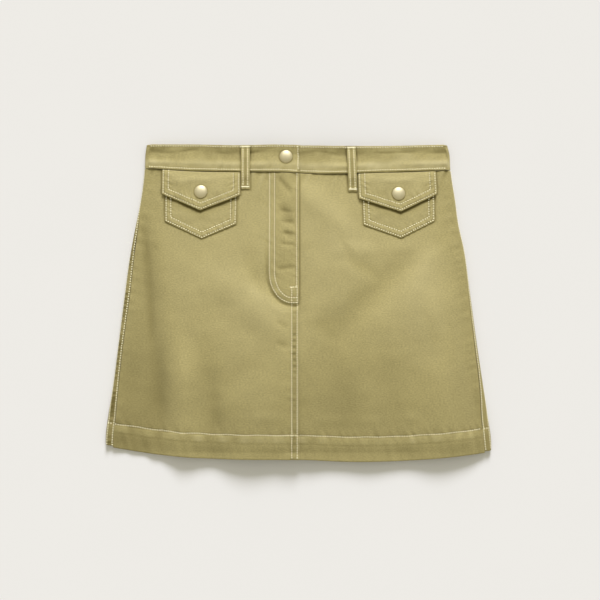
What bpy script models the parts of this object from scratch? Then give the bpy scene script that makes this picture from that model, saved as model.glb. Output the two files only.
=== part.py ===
"""Cargo utility skirt, fastened and laid flat on its back.

+X is the viewer's right, +Y runs up to the waist and +Z is up from the surface it lies on. The
origin is at the middle of the garment's outline, on that surface. Tables and sizes are in
millimetres, and the meshes are in metres.

Each cloth piece is a wall: a grid of points on its outer face, and the same grid moved in along
the normals by the cloth's thickness. The points come from one ring round the body at each level:
over the front, round the side fold, flat along the back and up round the other fold.
"""

import math
from collections import namedtuple

import bpy
import numpy as np
from mathutils import Vector

MM = 0.001

# Cloth thicknesses. A folded piece has two plies, and the waistband an interlining too.
PLY, HEM_PLY, BAND_PLY, FLAP_PLY, LOOP_PLY = 1.1, 2.0, 2.2, 1.6, 1.5
GAP = 0.3  # between pieces
LAID = GAP + 0.05  # between a sewn piece and the folded face it lies on
SEAM = GAP / 2 + 0.02  # half the gap where two edges meet

FOLD_R = 3.4  # outer radius of the side folds
BAND_PROUD = 1.0  # how far the waistband stands over the panels on the front
LENGTH = 345.0  # a panel's length from waist seam to hem
HEM_DEPTH = 29.5  # depth of the turned-up hem
BACK_SHORT = 2.0  # how far the back hem lies above the front hem, out of sight

LAP_END, LAP_UNDER = 0.5, -10.0  # where the left front ends, and the right front under it
BAND_END, BAND_UNDER = 1.0, -30.0  # the same for the waistband's two ends
OVER_LIFT, UNDER_DROP = 1.6, 2.7  # the waistband's ends move apart for the snap between them

ROWS = 17  # rows of a panel above its hem
BAND_SHARES = (0.0, 0.14, 0.5, 0.86, 1 - SEAM / 30)  # the waistband's rows, top to seam
LOOP_HALF = 5.5  # half the width of a belt loop
BACK_LOOPS = (-120.0, 0.0, 120.0)  # middles of the three loops on the back
BACK_LOOP_Y = (188.0, 135.0)
LOOP_CLEAR = (9.6, 34.0)  # from a back loop's middle: the back is fully lifted, and not at all
LOOP_CLEAR_Y = (88.0, 114.0)  # the same below the loops, the other way round
LOOP_BOW = 2.0  # how far a front loop stands off between its ends

CAP_R, STUD_R, STUD_H = 8.0, 6.0, 1.0
CAP_PROFILE = ((0, 3.0), (2.6, 2.85), (4.8, 2.35), (6.6, 1.55), (CAP_R, 0.6), (7.5, 0.0), (0, 0.0))
STUD_DROP = GAP + 0.1  # from the inside of the piece that holds it
SNAP_ROOM = STUD_H + GAP + 0.1  # how far the snap lifts a flap off its pocket

# Where the parts of the two laps start and end their rise or dip, across the centre front.
LEFT_STEP, RIGHT_STEP = (-27.0, -13.0), (2.0, 16.0)
OVER_STEP, UNDER_STEP = (-60.0, -34.0), (3.0, 22.0)

# Columns beside a side seam, and shares of the narrow strip between the seam and the side fold.
SIDE_COLUMNS = (0, 1.7, 3.5, 5.8, 11, 21)
STRIP_COLUMNS = (0, 0.17, 0.34, 0.5, 1)

# The crown is this power of the distance from the middle, which keeps it broad.
CROWN_POWER = 2.4
# A fold grows and fades over these shares of its length.
FADE_IN, FADE_OUT = (-0.12, 0.3), (0.7, 1.12)
# The folds are calm above and behind the pockets, and fade out towards the side folds.
POCKET_MIDDLE, POCKET_CALM, BELOW_POCKETS = 118.0, (46.0, 66.0), (-78.0, -56.0)
WAIST_CALM, SIDE_CALM = (-156.0, -136.0), (0.0, 26.0)

# One row a level: its outline on each side, the height of its crown, and how far each side
# seam lies in from the outline on the upper face.
Section = namedtuple("Section", "y left right crown seam_left seam_right")
SECTIONS = (
    Section(-179.3, -231.3, 232.1, 12.8, 8.2, 7.9),
    Section(-164.0, -232.2, 231.7, 15.4, 9.0, 9.0),
    Section(-135.0, -229.2, 227.5, 20.0, 9.2, 7.8),
    Section(-107.0, -224.3, 223.3, 24.2, 6.8, 5.0),
    Section(-49.0, -216.6, 214.7, 28.2, 5.4, 3.0),
    Section(9.0, -209.2, 206.8, 27.2, 6.0, 2.2),
    Section(66.0, -201.2, 198.7, 23.0, 4.5, 0.9),
    Section(95.0, -195.7, 192.2, 20.0, 3.2, 0.5),
    Section(124.0, -189.6, 188.2, 17.0, 0.2, 0.2),
    Section(160.0, -185.1, 182.8, 13.8, 0.2, 0.2),
    Section(181.0, -184.2, 181.2, 12.4, 0.2, 0.2),
    Section(190.6, -182.8, 178.6, 12.0, 0.2, 0.2),
)

# The height along the length of the top edge, the waist seam and the hem, across the front.
Edge = namedtuple("Edge", "x top seam hem")
EDGES = (
    Edge(-232.0, 190.6, 161.6, -172.3),
    Edge(-182.0, 190.6, 161.6, -180.5),
    Edge(-130.0, 190.6, 158.7, -185.7),
    Edge(-72.0, 189.5, 157.3, -187.8),
    Edge(-20.0, 190.2, 157.0, -188.2),
    Edge(4.0, 189.6, 155.8, -188.3),
    Edge(56.0, 188.6, 154.8, -190.6),
    Edge(92.0, 188.6, 156.6, -190.6),
    Edge(128.0, 189.2, 157.5, -189.4),
    Edge(181.0, 190.4, 159.4, -185.4),
    Edge(232.0, 190.4, 159.4, -179.3),
)
ENDS = {"top": (-182.8, 178.6), "seam": (-185.3, 183.0), "hem": (-231.3, 232.1)}

# The large soft folds of the front: each runs from one point to the other, bowed to its left
# by `bow` at the middle, with a rounded rise (or fall) of `height` and the half-width `width`.
Fold = namedtuple("Fold", "name x0 y0 x1 y1 bow width height")
FOLDS = (
    Fold("left trough", -188, 104, -168, -150, 3, 14, -4.2),
    Fold("left trough at the hem", -168, -90, -176, -200, 0, 19, -3.6),
    Fold("left ridge", -136, -50, -138, -200, 0, 12, 3.4),
    Fold("second trough", -112, -50, -102, -200, 3, 14, -2.8),
    Fold("left edge falling in", -198, -30, -208, -300, 0, 22, -3.2),
    Fold("hem swell, left of centre", -58, -90, -46, -210, 0, 36, 4.2),
    Fold("belly, left of centre", -104, -52, 22, -76, 0, 58, 3.4),
    Fold("diagonal below the fly", -112, 44, -18, -38, 0, 21, 3.2),
    Fold("hollow round the fly", -60, 66, 2, -14, -17, 12, -2.2),
    Fold("swell right of the fly", 6, 0, 66, -6, 0, 28, 1.6),
    Fold("upper right ridge", -6, 142, 92, 58, 0, 16, 3.2),
    Fold("upper right swell", -30, 110, 66, 34, 0, 34, 2.4),
    Fold("right trough", 172, 84, 22, -52, 0, 16, -3.0),
    Fold("right ridge", 150, 10, 86, -80, 0, 34, 2.0),
    Fold("centre dip at the hem", 44, 6, 54, -205, 4, 28, -3.6),
    Fold("right dip at the hem", 98, -30, 118, -205, 0, 20, -1.8),
    Fold("right swell at the hem", 148, 90, 190, -230, 0, 30, 6.4),
)

# A pocket or flap: corners of its upper edge, its lower side corners and its point.
Patch = namedtuple("Patch", "name tl tr bl br point")
POCKETS = (
    Patch("pocket_left", (-160.6, 150.5), (-73.8, 149.0), (-160.2, 98.4), (-74.8, 94.9),
          (-116.0, 77.4)),
    Patch("pocket_right", (75.6, 148.6), (162.8, 150.4), (77.8, 94.0), (163.4, 98.8),
          (122.8, 78.2)),
)
FLAPS = (
    Patch("flap_left", (-163.8, None), (-70.3, None), (-164.2, 131.6), (-70.1, 129.7),
          (-117.6, 111.3)),
    Patch("flap_right", (71.3, None), (164.6, None), (72.2, 125.8), (166.2, 131.3),
          (122.4, 109.9)),
)
SNAPS = {"waist": (-15.1, 175.7), "left": (-117.1, 133.6), "right": (119.8, 131.3)}

# A belt loop on the front: its middle line at the top and at the bottom.
Loop = namedtuple("Loop", "name top bottom")
LOOPS = (
    Loop("belt_loop_left", (-63.9, 189.0), (-63.8, 136.6)),
    Loop("belt_loop_right", (63.0, 187.8), (65.2, 133.6)),
)

CLOTH, METAL = (0.42, 0.36, 0.17), (0.78, 0.72, 0.58)


def lerp(a, b, share):
    return a + (b - a) * share


def smoothstep(x, start, end):
    """0 at start and 1 at end, with no slope at either."""
    s = np.clip((x - start) / (end - start), 0, 1)
    return s * s * (3 - 2 * s)


def curve(at, xs, ys):
    """A smooth curve through a table's points, level beyond its ends."""
    xs, ys = np.array(xs, float), np.array(ys, float)
    slope = np.gradient(ys, xs)
    at = np.clip(at, xs[0], xs[-1])
    k = np.clip(np.searchsorted(xs, at) - 1, 0, len(xs) - 2)
    wide = xs[k + 1] - xs[k]
    s = (at - xs[k]) / wide
    return (
        (1 + 2 * s) * (1 - s) ** 2 * ys[k]
        + s * s * (3 - 2 * s) * ys[k + 1]
        + s * (1 - s) * wide * ((1 - s) * slope[k] - s * slope[k + 1])
    )


def section(y, column):
    return curve(y, [s.y for s in SECTIONS], [getattr(s, column) for s in SECTIONS])


def edge(x, column):
    return curve(x, [e.x for e in EDGES], [getattr(e, column) for e in EDGES])


def folds(x, y):
    """The height that the large folds add."""
    total = np.zeros(np.broadcast(x, y).shape)
    for f in FOLDS:
        run = math.hypot(f.x1 - f.x0, f.y1 - f.y0)
        ax, ay = (f.x1 - f.x0) / run, (f.y1 - f.y0) / run
        along = ((x - f.x0) * ax + (y - f.y0) * ay) / run
        across = -(x - f.x0) * ay + (y - f.y0) * ax
        s = np.clip(along, 0, 1)
        off = across - 4 * f.bow * s * (1 - s)
        ends = smoothstep(along, *FADE_IN) * (1 - smoothstep(along, *FADE_OUT))
        total = total + f.height * np.exp(-((off / f.width) ** 2)) * ends
    return total


def arch(x, y):
    """Height of the front's outer face without its folds, and its distance from the side fold."""
    wide = np.where(x < 0, -section(y, "left"), section(y, "right")) - FOLD_R
    u = np.clip(np.abs(x) / wide, 0, 1)
    low = 2 * FOLD_R
    return low + (section(y, "crown") - low) * (1 - u**CROWN_POWER), wide - np.abs(x)


def front(x, y):
    """Height of the front's outer face. It is calm under the pockets and at the waist."""
    height, inside = arch(x, y)
    clear = smoothstep(np.abs(np.abs(x) - POCKET_MIDDLE), *POCKET_CALM)
    clear = np.clip(clear + smoothstep(-y, *BELOW_POCKETS), 0, 1) * smoothstep(-y, *WAIST_CALM)
    return height + folds(x, y) * clear * smoothstep(inside, *SIDE_CALM)


def back(x, y):
    """Height of the back's outer face: on the surface, but lifted over its belt loops."""
    rise = np.zeros(np.broadcast(x, y).shape)
    for middle in BACK_LOOPS:
        near = 1 - smoothstep(np.abs(x - middle), *LOOP_CLEAR)
        rise = np.maximum(rise, (LOOP_PLY + GAP + 0.1) * near)
    return rise * smoothstep(y, *LOOP_CLEAR_Y)


def level(edges, share):
    """The outline's two ends and y as a function of x, this far from one edge to the other."""
    upper, lower = edges

    def side_y(k):
        return lerp(edge(ENDS[upper][k], upper), edge(ENDS[lower][k], lower), share)

    left, right = float(section(side_y(0), "left")), float(section(side_y(1), "right"))

    def y_of(x):
        u = np.where(x < 0, x / left, x / right)
        ends = [np.where(x < 0, u * ENDS[e][0], u * ENDS[e][1]) for e in edges]
        return lerp(edge(ends[0], upper), edge(ends[1], lower), share)

    return left, right, y_of


class Ring:
    """The outer face all round at one level. Along it, 0 is the left outline, positive numbers
    run over the front, and negative ones under the back, to `half` at the right outline."""

    def __init__(self, edges, share, radius=FOLD_R, proud=0.0, lift=None):
        self.left, self.right, self.y_of = level(edges, share)
        self.radius, self.proud, self.lift = radius, proud, lift
        self.quarter = radius * math.pi / 2
        self.half = self.right - self.left - 2 * radius + 2 * self.quarter

    def on_front(self, x):
        return self.quarter + x - self.left - self.radius

    def on_back(self, x):
        return -self.on_front(x)

    def inset_place(self, inset):
        """How far along the front's side x lies this far in from an outline, and never quite on it."""
        inset = max(inset, 0.22)
        if inset < self.radius:
            return self.radius * math.acos(1 - inset / self.radius)
        return self.quarter + inset - self.radius

    def point(self, t):
        r, q = self.radius, self.quarter
        around = (t + self.half) % (2 * self.half) - self.half
        far = abs(around)
        if far < q:
            x, up = self.left + r - r * math.cos(far / r), r * math.sin(far / r)
        elif far > self.half - q:
            turn = (self.half - far) / r
            x, up = self.right - r + r * math.cos(turn), r * math.sin(turn)
        else:
            x, up = self.left + r + far - q, None
        y = float(self.y_of(x))
        if up is not None:
            return x, y, r + up if around > 0 else r - up
        if around < 0:
            return x, y, float(back(x, y))
        z = float(front(x, y)) + self.proud
        return x, y, z + (self.lift(x, t) if self.lift else 0.0)


def unit(vectors):
    return vectors / np.linalg.norm(vectors, axis=-1, keepdims=True)


def normals_of(grid):
    """Unit normals of a grid whose rows run down and whose columns run round the body."""
    return unit(np.cross(np.gradient(grid, axis=0), np.gradient(grid, axis=1)))


def ring_row(edges, share, places, **shape):
    """One level's points, at the places that places(ring) gives, and the face's normals there."""
    ring, above, below = (Ring(edges, share + d, **shape) for d in (0.0, -0.004, 0.004))
    t = places(ring)
    down = np.array([below.point(a) for a in t]) - np.array([above.point(a) for a in t])
    along = np.array([ring.point(a + 0.2) for a in t]) - np.array([ring.point(a - 0.2) for a in t])
    return [ring.point(a) for a in t], unit(np.cross(down, along))


def material_of(name, colour, metallic, roughness):
    material = bpy.data.materials.new(name)
    material.use_nodes = True
    shader = material.node_tree.nodes["Principled BSDF"]
    shader.inputs["Base Color"].default_value = (*colour, 1)
    shader.inputs["Metallic"].default_value = metallic
    shader.inputs["Roughness"].default_value = roughness
    material.diffuse_color = (*colour, 1)
    return material


def make(name, points, faces, metal=False):
    mesh = bpy.data.meshes.new(name)
    mesh.from_pydata([tuple(c * MM for c in p) for p in points], [], faces)
    mesh.materials.append(
        material_of(name, METAL, 1.0, 0.32) if metal else material_of(name, CLOTH, 0.0, 0.9)
    )
    mesh.update()
    obj = bpy.data.objects.new(name, mesh)
    bpy.context.scene.collection.objects.link(obj)
    return obj


def wall(name, grid, thickness, normals=None):
    """A closed cloth wall from the grid of its outer face, with its four edges closed. thickness
    is one number or one a row."""
    grid = np.array(grid, float)
    rows, columns = grid.shape[:2]
    normals = normals_of(grid) if normals is None else np.array(normals, float)
    inner = grid - normals * np.broadcast_to(thickness, rows)[:, None, None]
    size = rows * columns

    def outer_at(i, j):
        return i * columns + j

    def inner_at(i, j):
        return size + i * columns + j

    faces = []
    for i in range(rows - 1):
        for j in range(columns - 1):
            a, b, c, d = (i, j), (i, j + 1), (i + 1, j + 1), (i + 1, j)
            for trio in ((a, d, c), (a, c, b)):
                faces.append([outer_at(*p) for p in trio])
                faces.append([inner_at(*p) for p in reversed(trio)])
    border = [((0, j), (0, j + 1)) for j in range(columns - 1)]
    border += [((i, columns - 1), (i + 1, columns - 1)) for i in range(rows - 1)]
    border += [((rows - 1, j + 1), (rows - 1, j)) for j in range(columns - 1)]
    border += [((i + 1, 0), (i, 0)) for i in range(rows - 1)]
    for a, b in border:
        faces.append([outer_at(*a), outer_at(*b), inner_at(*b)])
        faces.append([outer_at(*a), inner_at(*b), inner_at(*a)])
    return make(name, np.concatenate([grid.reshape(-1, 3), inner.reshape(-1, 3)]), faces)


def panel_rows(last):
    """Shares from waist seam to hem: even rows, then close ones where the hem's ply begins. All
    three panels share them, so that their edges run alike at the side seams."""
    fold = 1 - HEM_DEPTH / LENGTH
    body = [lerp(SEAM / LENGTH, fold - 0.004, i / ROWS) for i in range(ROWS + 1)]
    return body + [fold + 0.002, lerp(fold, 1, 0.5), last]


def ply_at(share):
    return HEM_PLY if share > 1 - HEM_DEPTH / LENGTH else PLY


def lap_lift(side):
    """At centre front the two fronts move apart by half a ply each, the left one outwards."""

    def lift(share):
        step = (ply_at(share) + GAP) / 2 + 0.05
        if side < 0:
            return lambda x, t: step * float(smoothstep(x, *LEFT_STEP))
        return lambda x, t: -step * float(1 - smoothstep(x, *RIGHT_STEP))

    return lift


def left_front_places(ring):
    y = float(ring.y_of(ring.left))
    seam = ring.inset_place(float(section(y, "seam_left"))) + GAP / 2
    near = [seam + d for d in SIDE_COLUMNS]
    middle = np.linspace(near[-1], ring.on_front(LEFT_STEP[0]), 12)
    return near + list(middle[1:]) + [ring.on_front(x) for x in (LEFT_STEP[1], LAP_UNDER, -5, LAP_END)]


def right_front_places(ring):
    y = float(ring.y_of(ring.right))
    seam = ring.half - ring.inset_place(float(section(y, "seam_right"))) - GAP / 2
    near = [seam - d for d in reversed(SIDE_COLUMNS)]
    middle = np.linspace(ring.on_front(RIGHT_STEP[1]), near[0], 12)
    return [ring.on_front(x) for x in (LAP_UNDER, -5, LAP_END, 3, 9)] + list(middle[:-1]) + near


def panel(name, shares, places, lift=lambda share: None):
    """A panel between the waist seam and the hem, whose last rows hold the turned-up ply."""
    rows = [ring_row(("seam", "hem"), s, places, lift=lift(s)) for s in shares]
    plies = [ply_at(s) for s in shares]
    return wall(name, [row[0] for row in rows], plies, [row[1] for row in rows])


def back_columns():
    """The x of the columns along the back: they hold the flat lift over each loop exactly."""
    full, none = LOOP_CLEAR
    return [x + d for x in BACK_LOOPS for d in (-none, -full, full, none)]


def back_places(ring):
    """From the right side seam round its fold, along the back and round to the left seam."""
    left_y, right_y = float(ring.y_of(ring.left)), float(ring.y_of(ring.right))
    left = ring.inset_place(float(section(left_y, "seam_left"))) - GAP / 2
    right = ring.inset_place(float(section(right_y, "seam_right"))) - GAP / 2
    arc = [ring.quarter * k / 3 for k in (1, 2, 3)]
    places = [-ring.half - right * w for w in reversed(STRIP_COLUMNS)]
    places += [-ring.half + a for a in arc]
    places += sorted(ring.on_back(x) for x in back_columns())
    return places + [-a for a in reversed(arc)] + [left * w for w in STRIP_COLUMNS]


def band_lift(x, t):
    """The waistband's two ends: the left one rises over the snap, and the right one dips."""
    if t > 0:
        return OVER_LIFT * float(smoothstep(x, *OVER_STEP))
    return -UNDER_DROP * float(1 - smoothstep(x, *UNDER_STEP))


def waistband():
    """One strip all round, from its end under the lap to its end over it."""
    radius = FOLD_R + BAND_PROUD / 2
    under = [BAND_UNDER, -24, -15, -6, 3, 8, 12.5, 17, 22, 36, 50, 66, 84, 104, 128, 152]
    over = [-152, -128, -104, -84, -72, -60, -53, -47, -41, -34, -24, -15, -6, BAND_END]

    def places(ring):
        arc = [ring.quarter * k / 4 for k in (1, 2, 3, 4)]
        t = [ring.on_front(x) - 2 * ring.half for x in under]
        t += [-ring.half - a for a in reversed(arc)] + [-ring.half]
        t += [-ring.half + a for a in arc] + sorted(ring.on_back(x) for x in back_columns())
        return t + [-a for a in reversed(arc)] + [0.0] + arc + [ring.on_front(x) for x in over]

    shape = {"radius": radius, "proud": BAND_PROUD, "lift": band_lift}
    rows = [ring_row(("top", "seam"), s, places, **shape) for s in BAND_SHARES]
    return wall("waistband", [row[0] for row in rows], BAND_PLY, [row[1] for row in rows])


def patch_grid(patch, across, down, height, drop=0.0):
    """Points of a pointed piece, over the front's outer face by height(share down, share across).
    Its upper corners may leave out y, and then its edge follows the waist seam."""
    grid = []
    for i in range(down + 1):
        row = []
        for j in range(across + 1):
            share = j / across
            top_x = lerp(patch.tl[0], patch.tr[0], share)
            if patch.tl[1] is None:
                top_y = float(level(("seam", "hem"), 0)[2](top_x)) - drop
            else:
                top_y = lerp(patch.tl[1], patch.tr[1], share)
            start, end = (patch.bl, patch.point) if share < 0.5 else (patch.point, patch.br)
            part = share * 2 - (share >= 0.5)
            low = (lerp(start[0], end[0], part), lerp(start[1], end[1], part))
            x, y = lerp(top_x, low[0], i / down), lerp(top_y, low[1], i / down)
            row.append((x, y, float(front(x, y)) + height(i / down, share)))
        grid.append(row)
    return grid


def pocket(patch):
    return wall(patch.name, patch_grid(patch, 8, 6, lambda r, c: GAP + PLY), PLY)


def flap(patch):
    """A flap leaves the waist seam flat, passes over the pocket's mouth and rests on the snap."""

    def height(r, c):
        over_pocket = (PLY + GAP) * float(smoothstep(r, 0.0, 0.2))
        middle = math.sin(math.pi * c) ** 2
        snap = SNAP_ROOM * float(smoothstep(r, 0.1, 0.45)) * lerp(0.35, 1, middle)
        return LAID + FLAP_PLY + over_pocket + snap

    return wall(patch.name, patch_grid(patch, 10, 8, height, drop=SEAM + 0.2), FLAP_PLY)


def belt_loop(loop):
    """A strip sewn down at the waistband's top and below the waist seam, and free between."""
    grid, steps = [], 10
    for i in range(steps + 1):
        r = i / steps
        y = lerp(loop.top[1], loop.bottom[1], r)
        middle = lerp(loop.top[0], loop.bottom[0], r)
        seam = float(edge(middle, "seam"))
        on_band = BAND_PROUD * float(smoothstep(y, seam - 14, seam - 4))
        bow = LOOP_BOW * float(smoothstep(r, 0.05, 0.3) * (1 - smoothstep(r, 0.62, 0.94)))
        row = []
        for side in (-1, 0, 1):
            x = middle + side * LOOP_HALF
            row.append((x, y, float(front(x, y)) + on_band + bow + LAID + LOOP_PLY))
        grid.append(row)
    return wall(loop.name, grid, LOOP_PLY)


def back_loop(name, middle):
    """A strip on the back, flat under the garment's weight."""
    grid = []
    for i in range(4):
        y = lerp(BACK_LOOP_Y[1], BACK_LOOP_Y[0], i / 3)
        grid.append([(middle + side * LOOP_HALF, y, 0.0) for side in (-1, 0, 1)])
    return wall(name, grid, LOOP_PLY)


def lathe(name, base, normal, profile, segments=24):
    """A turned piece: the profile's (radius, height) pairs run from the top's middle down."""
    turn = Vector((0, 0, 1)).rotation_difference(Vector(normal))
    points, faces = [base_at(base, turn, (0, 0, profile[0][1]))], []
    for radius, height in profile[1:-1]:
        for k in range(segments):
            a = 2 * math.pi * k / segments
            spot = (radius * math.cos(a), radius * math.sin(a), height)
            points.append(base_at(base, turn, spot))
    points.append(base_at(base, turn, (0, 0, profile[-1][1])))
    rings, last = len(profile) - 2, len(points) - 1
    for k in range(segments):
        n = (k + 1) % segments
        faces.append([0, 1 + k, 1 + n])
        for i in range(rings - 1):
            a, b = 1 + i * segments + k, 1 + i * segments + n
            c, d = b + segments, a + segments
            faces += [[a, d, c], [a, c, b]]
        bottom = 1 + (rings - 1) * segments
        faces.append([last, bottom + n, bottom + k])
    return make(name, points, faces, metal=True)


def base_at(base, turn, spot):
    return tuple(Vector(base) + turn @ Vector(spot))


def face_frame(height_of, x, y):
    """A point of a face given as a height, and its unit normal."""
    step = 4.0
    dx = (height_of(x + step, y) - height_of(x - step, y)) / (2 * step)
    dy = (height_of(x, y + step) - height_of(x, y - step)) / (2 * step)
    normal = Vector((-dx, -dy, 1)).normalized()
    return Vector((x, y, height_of(x, y))), normal


def snap(which, outer, ply):
    """A domed cap on a piece's outer face, and the socket and stud closed up behind the piece.
    outer is the height of the face that the cap sits on."""
    x, y = SNAPS[which]
    spot, normal = face_frame(outer, x, y)
    lathe(f"snap_{which}_cap", spot + normal * LAID, normal, CAP_PROFILE)
    low = [(0, STUD_H), (STUD_R, STUD_H), (STUD_R, 0.0), (0, 0.0)]
    at = spot - normal * (ply + STUD_DROP + STUD_H)
    lathe(f"snap_{which}_stud", at, normal, low)


def flap_face(x, y):
    """The flap's outer face as a height, near its snap."""
    return float(front(x, y)) + LAID + FLAP_PLY + PLY + GAP + SNAP_ROOM


def band_face(x, y):
    """The waistband's outer face as a height, near its snap."""
    return float(front(x, y)) + BAND_PROUD + OVER_LIFT


def main():
    for obj in list(bpy.data.objects):
        bpy.data.objects.remove(obj, do_unlink=True)
    panel("front_left", panel_rows(1), left_front_places, lap_lift(-1))
    panel("front_right", panel_rows(1), right_front_places, lap_lift(1))
    panel("back_panel", panel_rows(1 - BACK_SHORT / LENGTH), back_places)
    waistband()
    for patch in POCKETS:
        pocket(patch)
    for patch in FLAPS:
        flap(patch)
    for loop in LOOPS:
        belt_loop(loop)
    for name, middle in zip(("back_left", "back_centre", "back_right"), BACK_LOOPS):
        back_loop(f"belt_loop_{name}", middle)
    snap("waist", band_face, BAND_PLY)
    for which in ("left", "right"):
        snap(which, flap_face, FLAP_PLY)


main()
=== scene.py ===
"""Cargo utility skirt in washed cotton twill, fastened and laid flat on its back.

Each cloth piece is a thin shell on the form of its solid: a fine grid of points with the garment's
folds, creases, seam ridges and puckers, given a thickness and rounded edges. Topstitching is real
thread. Tables and sizes are in millimetres; meshes are in metres, in the frame of the solids, with
+X to the viewer's right, +Y up to the waist and +Z up from the floor.
"""

import math
from collections import namedtuple

import bmesh
import bpy
import numpy as np
from bpy.props import FloatProperty, FloatVectorProperty, PointerProperty
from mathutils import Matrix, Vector
from mathutils.bvhtree import BVHTree


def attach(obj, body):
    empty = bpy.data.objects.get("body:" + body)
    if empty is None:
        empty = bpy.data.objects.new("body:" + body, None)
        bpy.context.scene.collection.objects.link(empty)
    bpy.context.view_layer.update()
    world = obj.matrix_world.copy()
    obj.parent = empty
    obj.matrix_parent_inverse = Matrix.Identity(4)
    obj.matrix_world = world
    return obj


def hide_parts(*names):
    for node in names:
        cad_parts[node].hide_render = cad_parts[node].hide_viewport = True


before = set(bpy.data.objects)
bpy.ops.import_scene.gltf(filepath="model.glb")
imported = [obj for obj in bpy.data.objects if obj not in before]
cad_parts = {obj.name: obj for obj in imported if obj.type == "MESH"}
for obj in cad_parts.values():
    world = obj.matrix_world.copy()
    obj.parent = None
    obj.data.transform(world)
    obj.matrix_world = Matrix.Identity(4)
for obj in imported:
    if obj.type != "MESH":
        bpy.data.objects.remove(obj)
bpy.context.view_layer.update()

bl_info = {
    "name": "Cargo Utility Skirt",
    "version": (1, 0, 0),
    "blender": (4, 5, 0),
    "location": "3D View > Sidebar > Skirt",
    "description": "Builds the cloth, topstitching and snaps of a cargo utility skirt laid flat",
    "category": "Object",
}

MM = 0.001
ROOT = "root"  # the only body
UP, DOWN = (0.0, 0.0, 1.0), (0.0, 0.0, -1.0)
ABOVE, OUTSIDE = 60, 240  # higher and further out than any piece

# The solids' own sizes.
PLY, HEM_PLY, BAND_PLY, FLAP_PLY, LOOP_PLY = 1.1, 2.0, 2.2, 1.6, 1.5  # thicknesses
GAP = 0.3  # between two pieces
LAID = GAP + 0.05  # under a piece that is laid on another
PASSING = GAP + 0.1  # between pieces where one passes over another
SEAM = GAP / 2 + 0.02  # from a waist seam's line to the edge of either piece
SIDE_IN = GAP / 2 + PLY / 2  # from a side seam's line to where a panel's edge starts to turn
FOLD_R, CROWN_POWER = 3.4, 2.4  # radius of the side folds, and how square the crown is
LENGTH, HEM_DEPTH, BACK_SHORT = 345.0, 29.5, 2.0  # along the cloth; the back is shorter
HEM_NEAR = LENGTH - 37.0  # from here on the hem's relief needs closer rows of points
LAP_END, LAP_UNDER = 0.5, -10.0  # x where the left front ends, and the right one under it
BAND_DEPTH, BAND_PROUD = 30.0, 1.0  # the waistband stands out over the panels
BAND_FOLD_R = FOLD_R + BAND_PROUD / 2
BAND_END, BAND_UNDER = 1.0, -30.0  # x of its upper end, and of its end underneath
OVER_LIFT, UNDER_DROP = 1.6, 2.7  # how far those two ends rise and dip
WAIST_Y = 158.0  # the waist seam's y where it need not be exact
POCKET_DEEP, FLAP_DEEP = 75.0, 48.0  # from the upper edge to the point
LOOP_HALF, LOOP_BOW = 5.5, 2.0  # half a belt loop's width, and how far it stands off
BACK_LOOPS, BACK_LOOP_Y = (-120.0, 0.0, 120.0), (188.0, 135.0)
LOOP_CLEAR, LOOP_CLEAR_Y = (9.6, 34.0), (88.0, 114.0)  # where the back rises over its loops
STUD_H = 1.0
FULLER = 1.2  # the folds are this much fuller than the solids' facets
PRESSED = 0.65  # how deep the stitches underneath are pressed in
POCKET_X = 118.0  # the distance of both pockets' middles from the centre
EDGE_WEAR = 0.45  # turned edges are rubbed this much paler than the cloth beside them

Section = namedtuple("Section", "y left right crown seam_left seam_right")
SECTIONS = (
    Section(-179.3, -231.3, 232.1, 12.8, 8.2, 7.9),
    Section(-164.0, -232.2, 231.7, 15.4, 9.0, 9.0),
    Section(-135.0, -229.2, 227.5, 20.0, 9.2, 7.8),
    Section(-107.0, -224.3, 223.3, 24.2, 6.8, 5.0),
    Section(-49.0, -216.6, 214.7, 28.2, 5.4, 3.0),
    Section(9.0, -209.2, 206.8, 27.2, 6.0, 2.2),
    Section(66.0, -201.2, 198.7, 23.0, 4.5, 0.9),
    Section(95.0, -195.7, 192.2, 20.0, 3.2, 0.5),
    Section(124.0, -189.6, 188.2, 17.0, 0.2, 0.2),
    Section(160.0, -185.1, 182.8, 13.8, 0.2, 0.2),
    Section(181.0, -184.2, 181.2, 12.4, 0.2, 0.2),
    Section(190.6, -182.8, 178.6, 12.0, 0.2, 0.2),
)

Edge = namedtuple("Edge", "x top seam hem")
EDGES = (
    Edge(-232.0, 190.6, 161.6, -172.3),
    Edge(-182.0, 190.6, 161.6, -180.5),
    Edge(-130.0, 190.6, 158.7, -185.7),
    Edge(-72.0, 189.5, 157.3, -187.8),
    Edge(-20.0, 190.2, 157.0, -188.2),
    Edge(4.0, 189.6, 155.8, -188.3),
    Edge(56.0, 188.6, 154.8, -190.6),
    Edge(92.0, 188.6, 156.6, -190.6),
    Edge(128.0, 189.2, 157.5, -189.4),
    Edge(181.0, 190.4, 159.4, -185.4),
    Edge(232.0, 190.4, 159.4, -179.3),
)
ENDS = {"top": (-182.8, 178.6), "seam": (-185.3, 183.0), "hem": (-231.3, 232.1)}
BODY, BAND = ("seam", "hem"), ("top", "seam")  # the edges above and below a piece's rows

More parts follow.
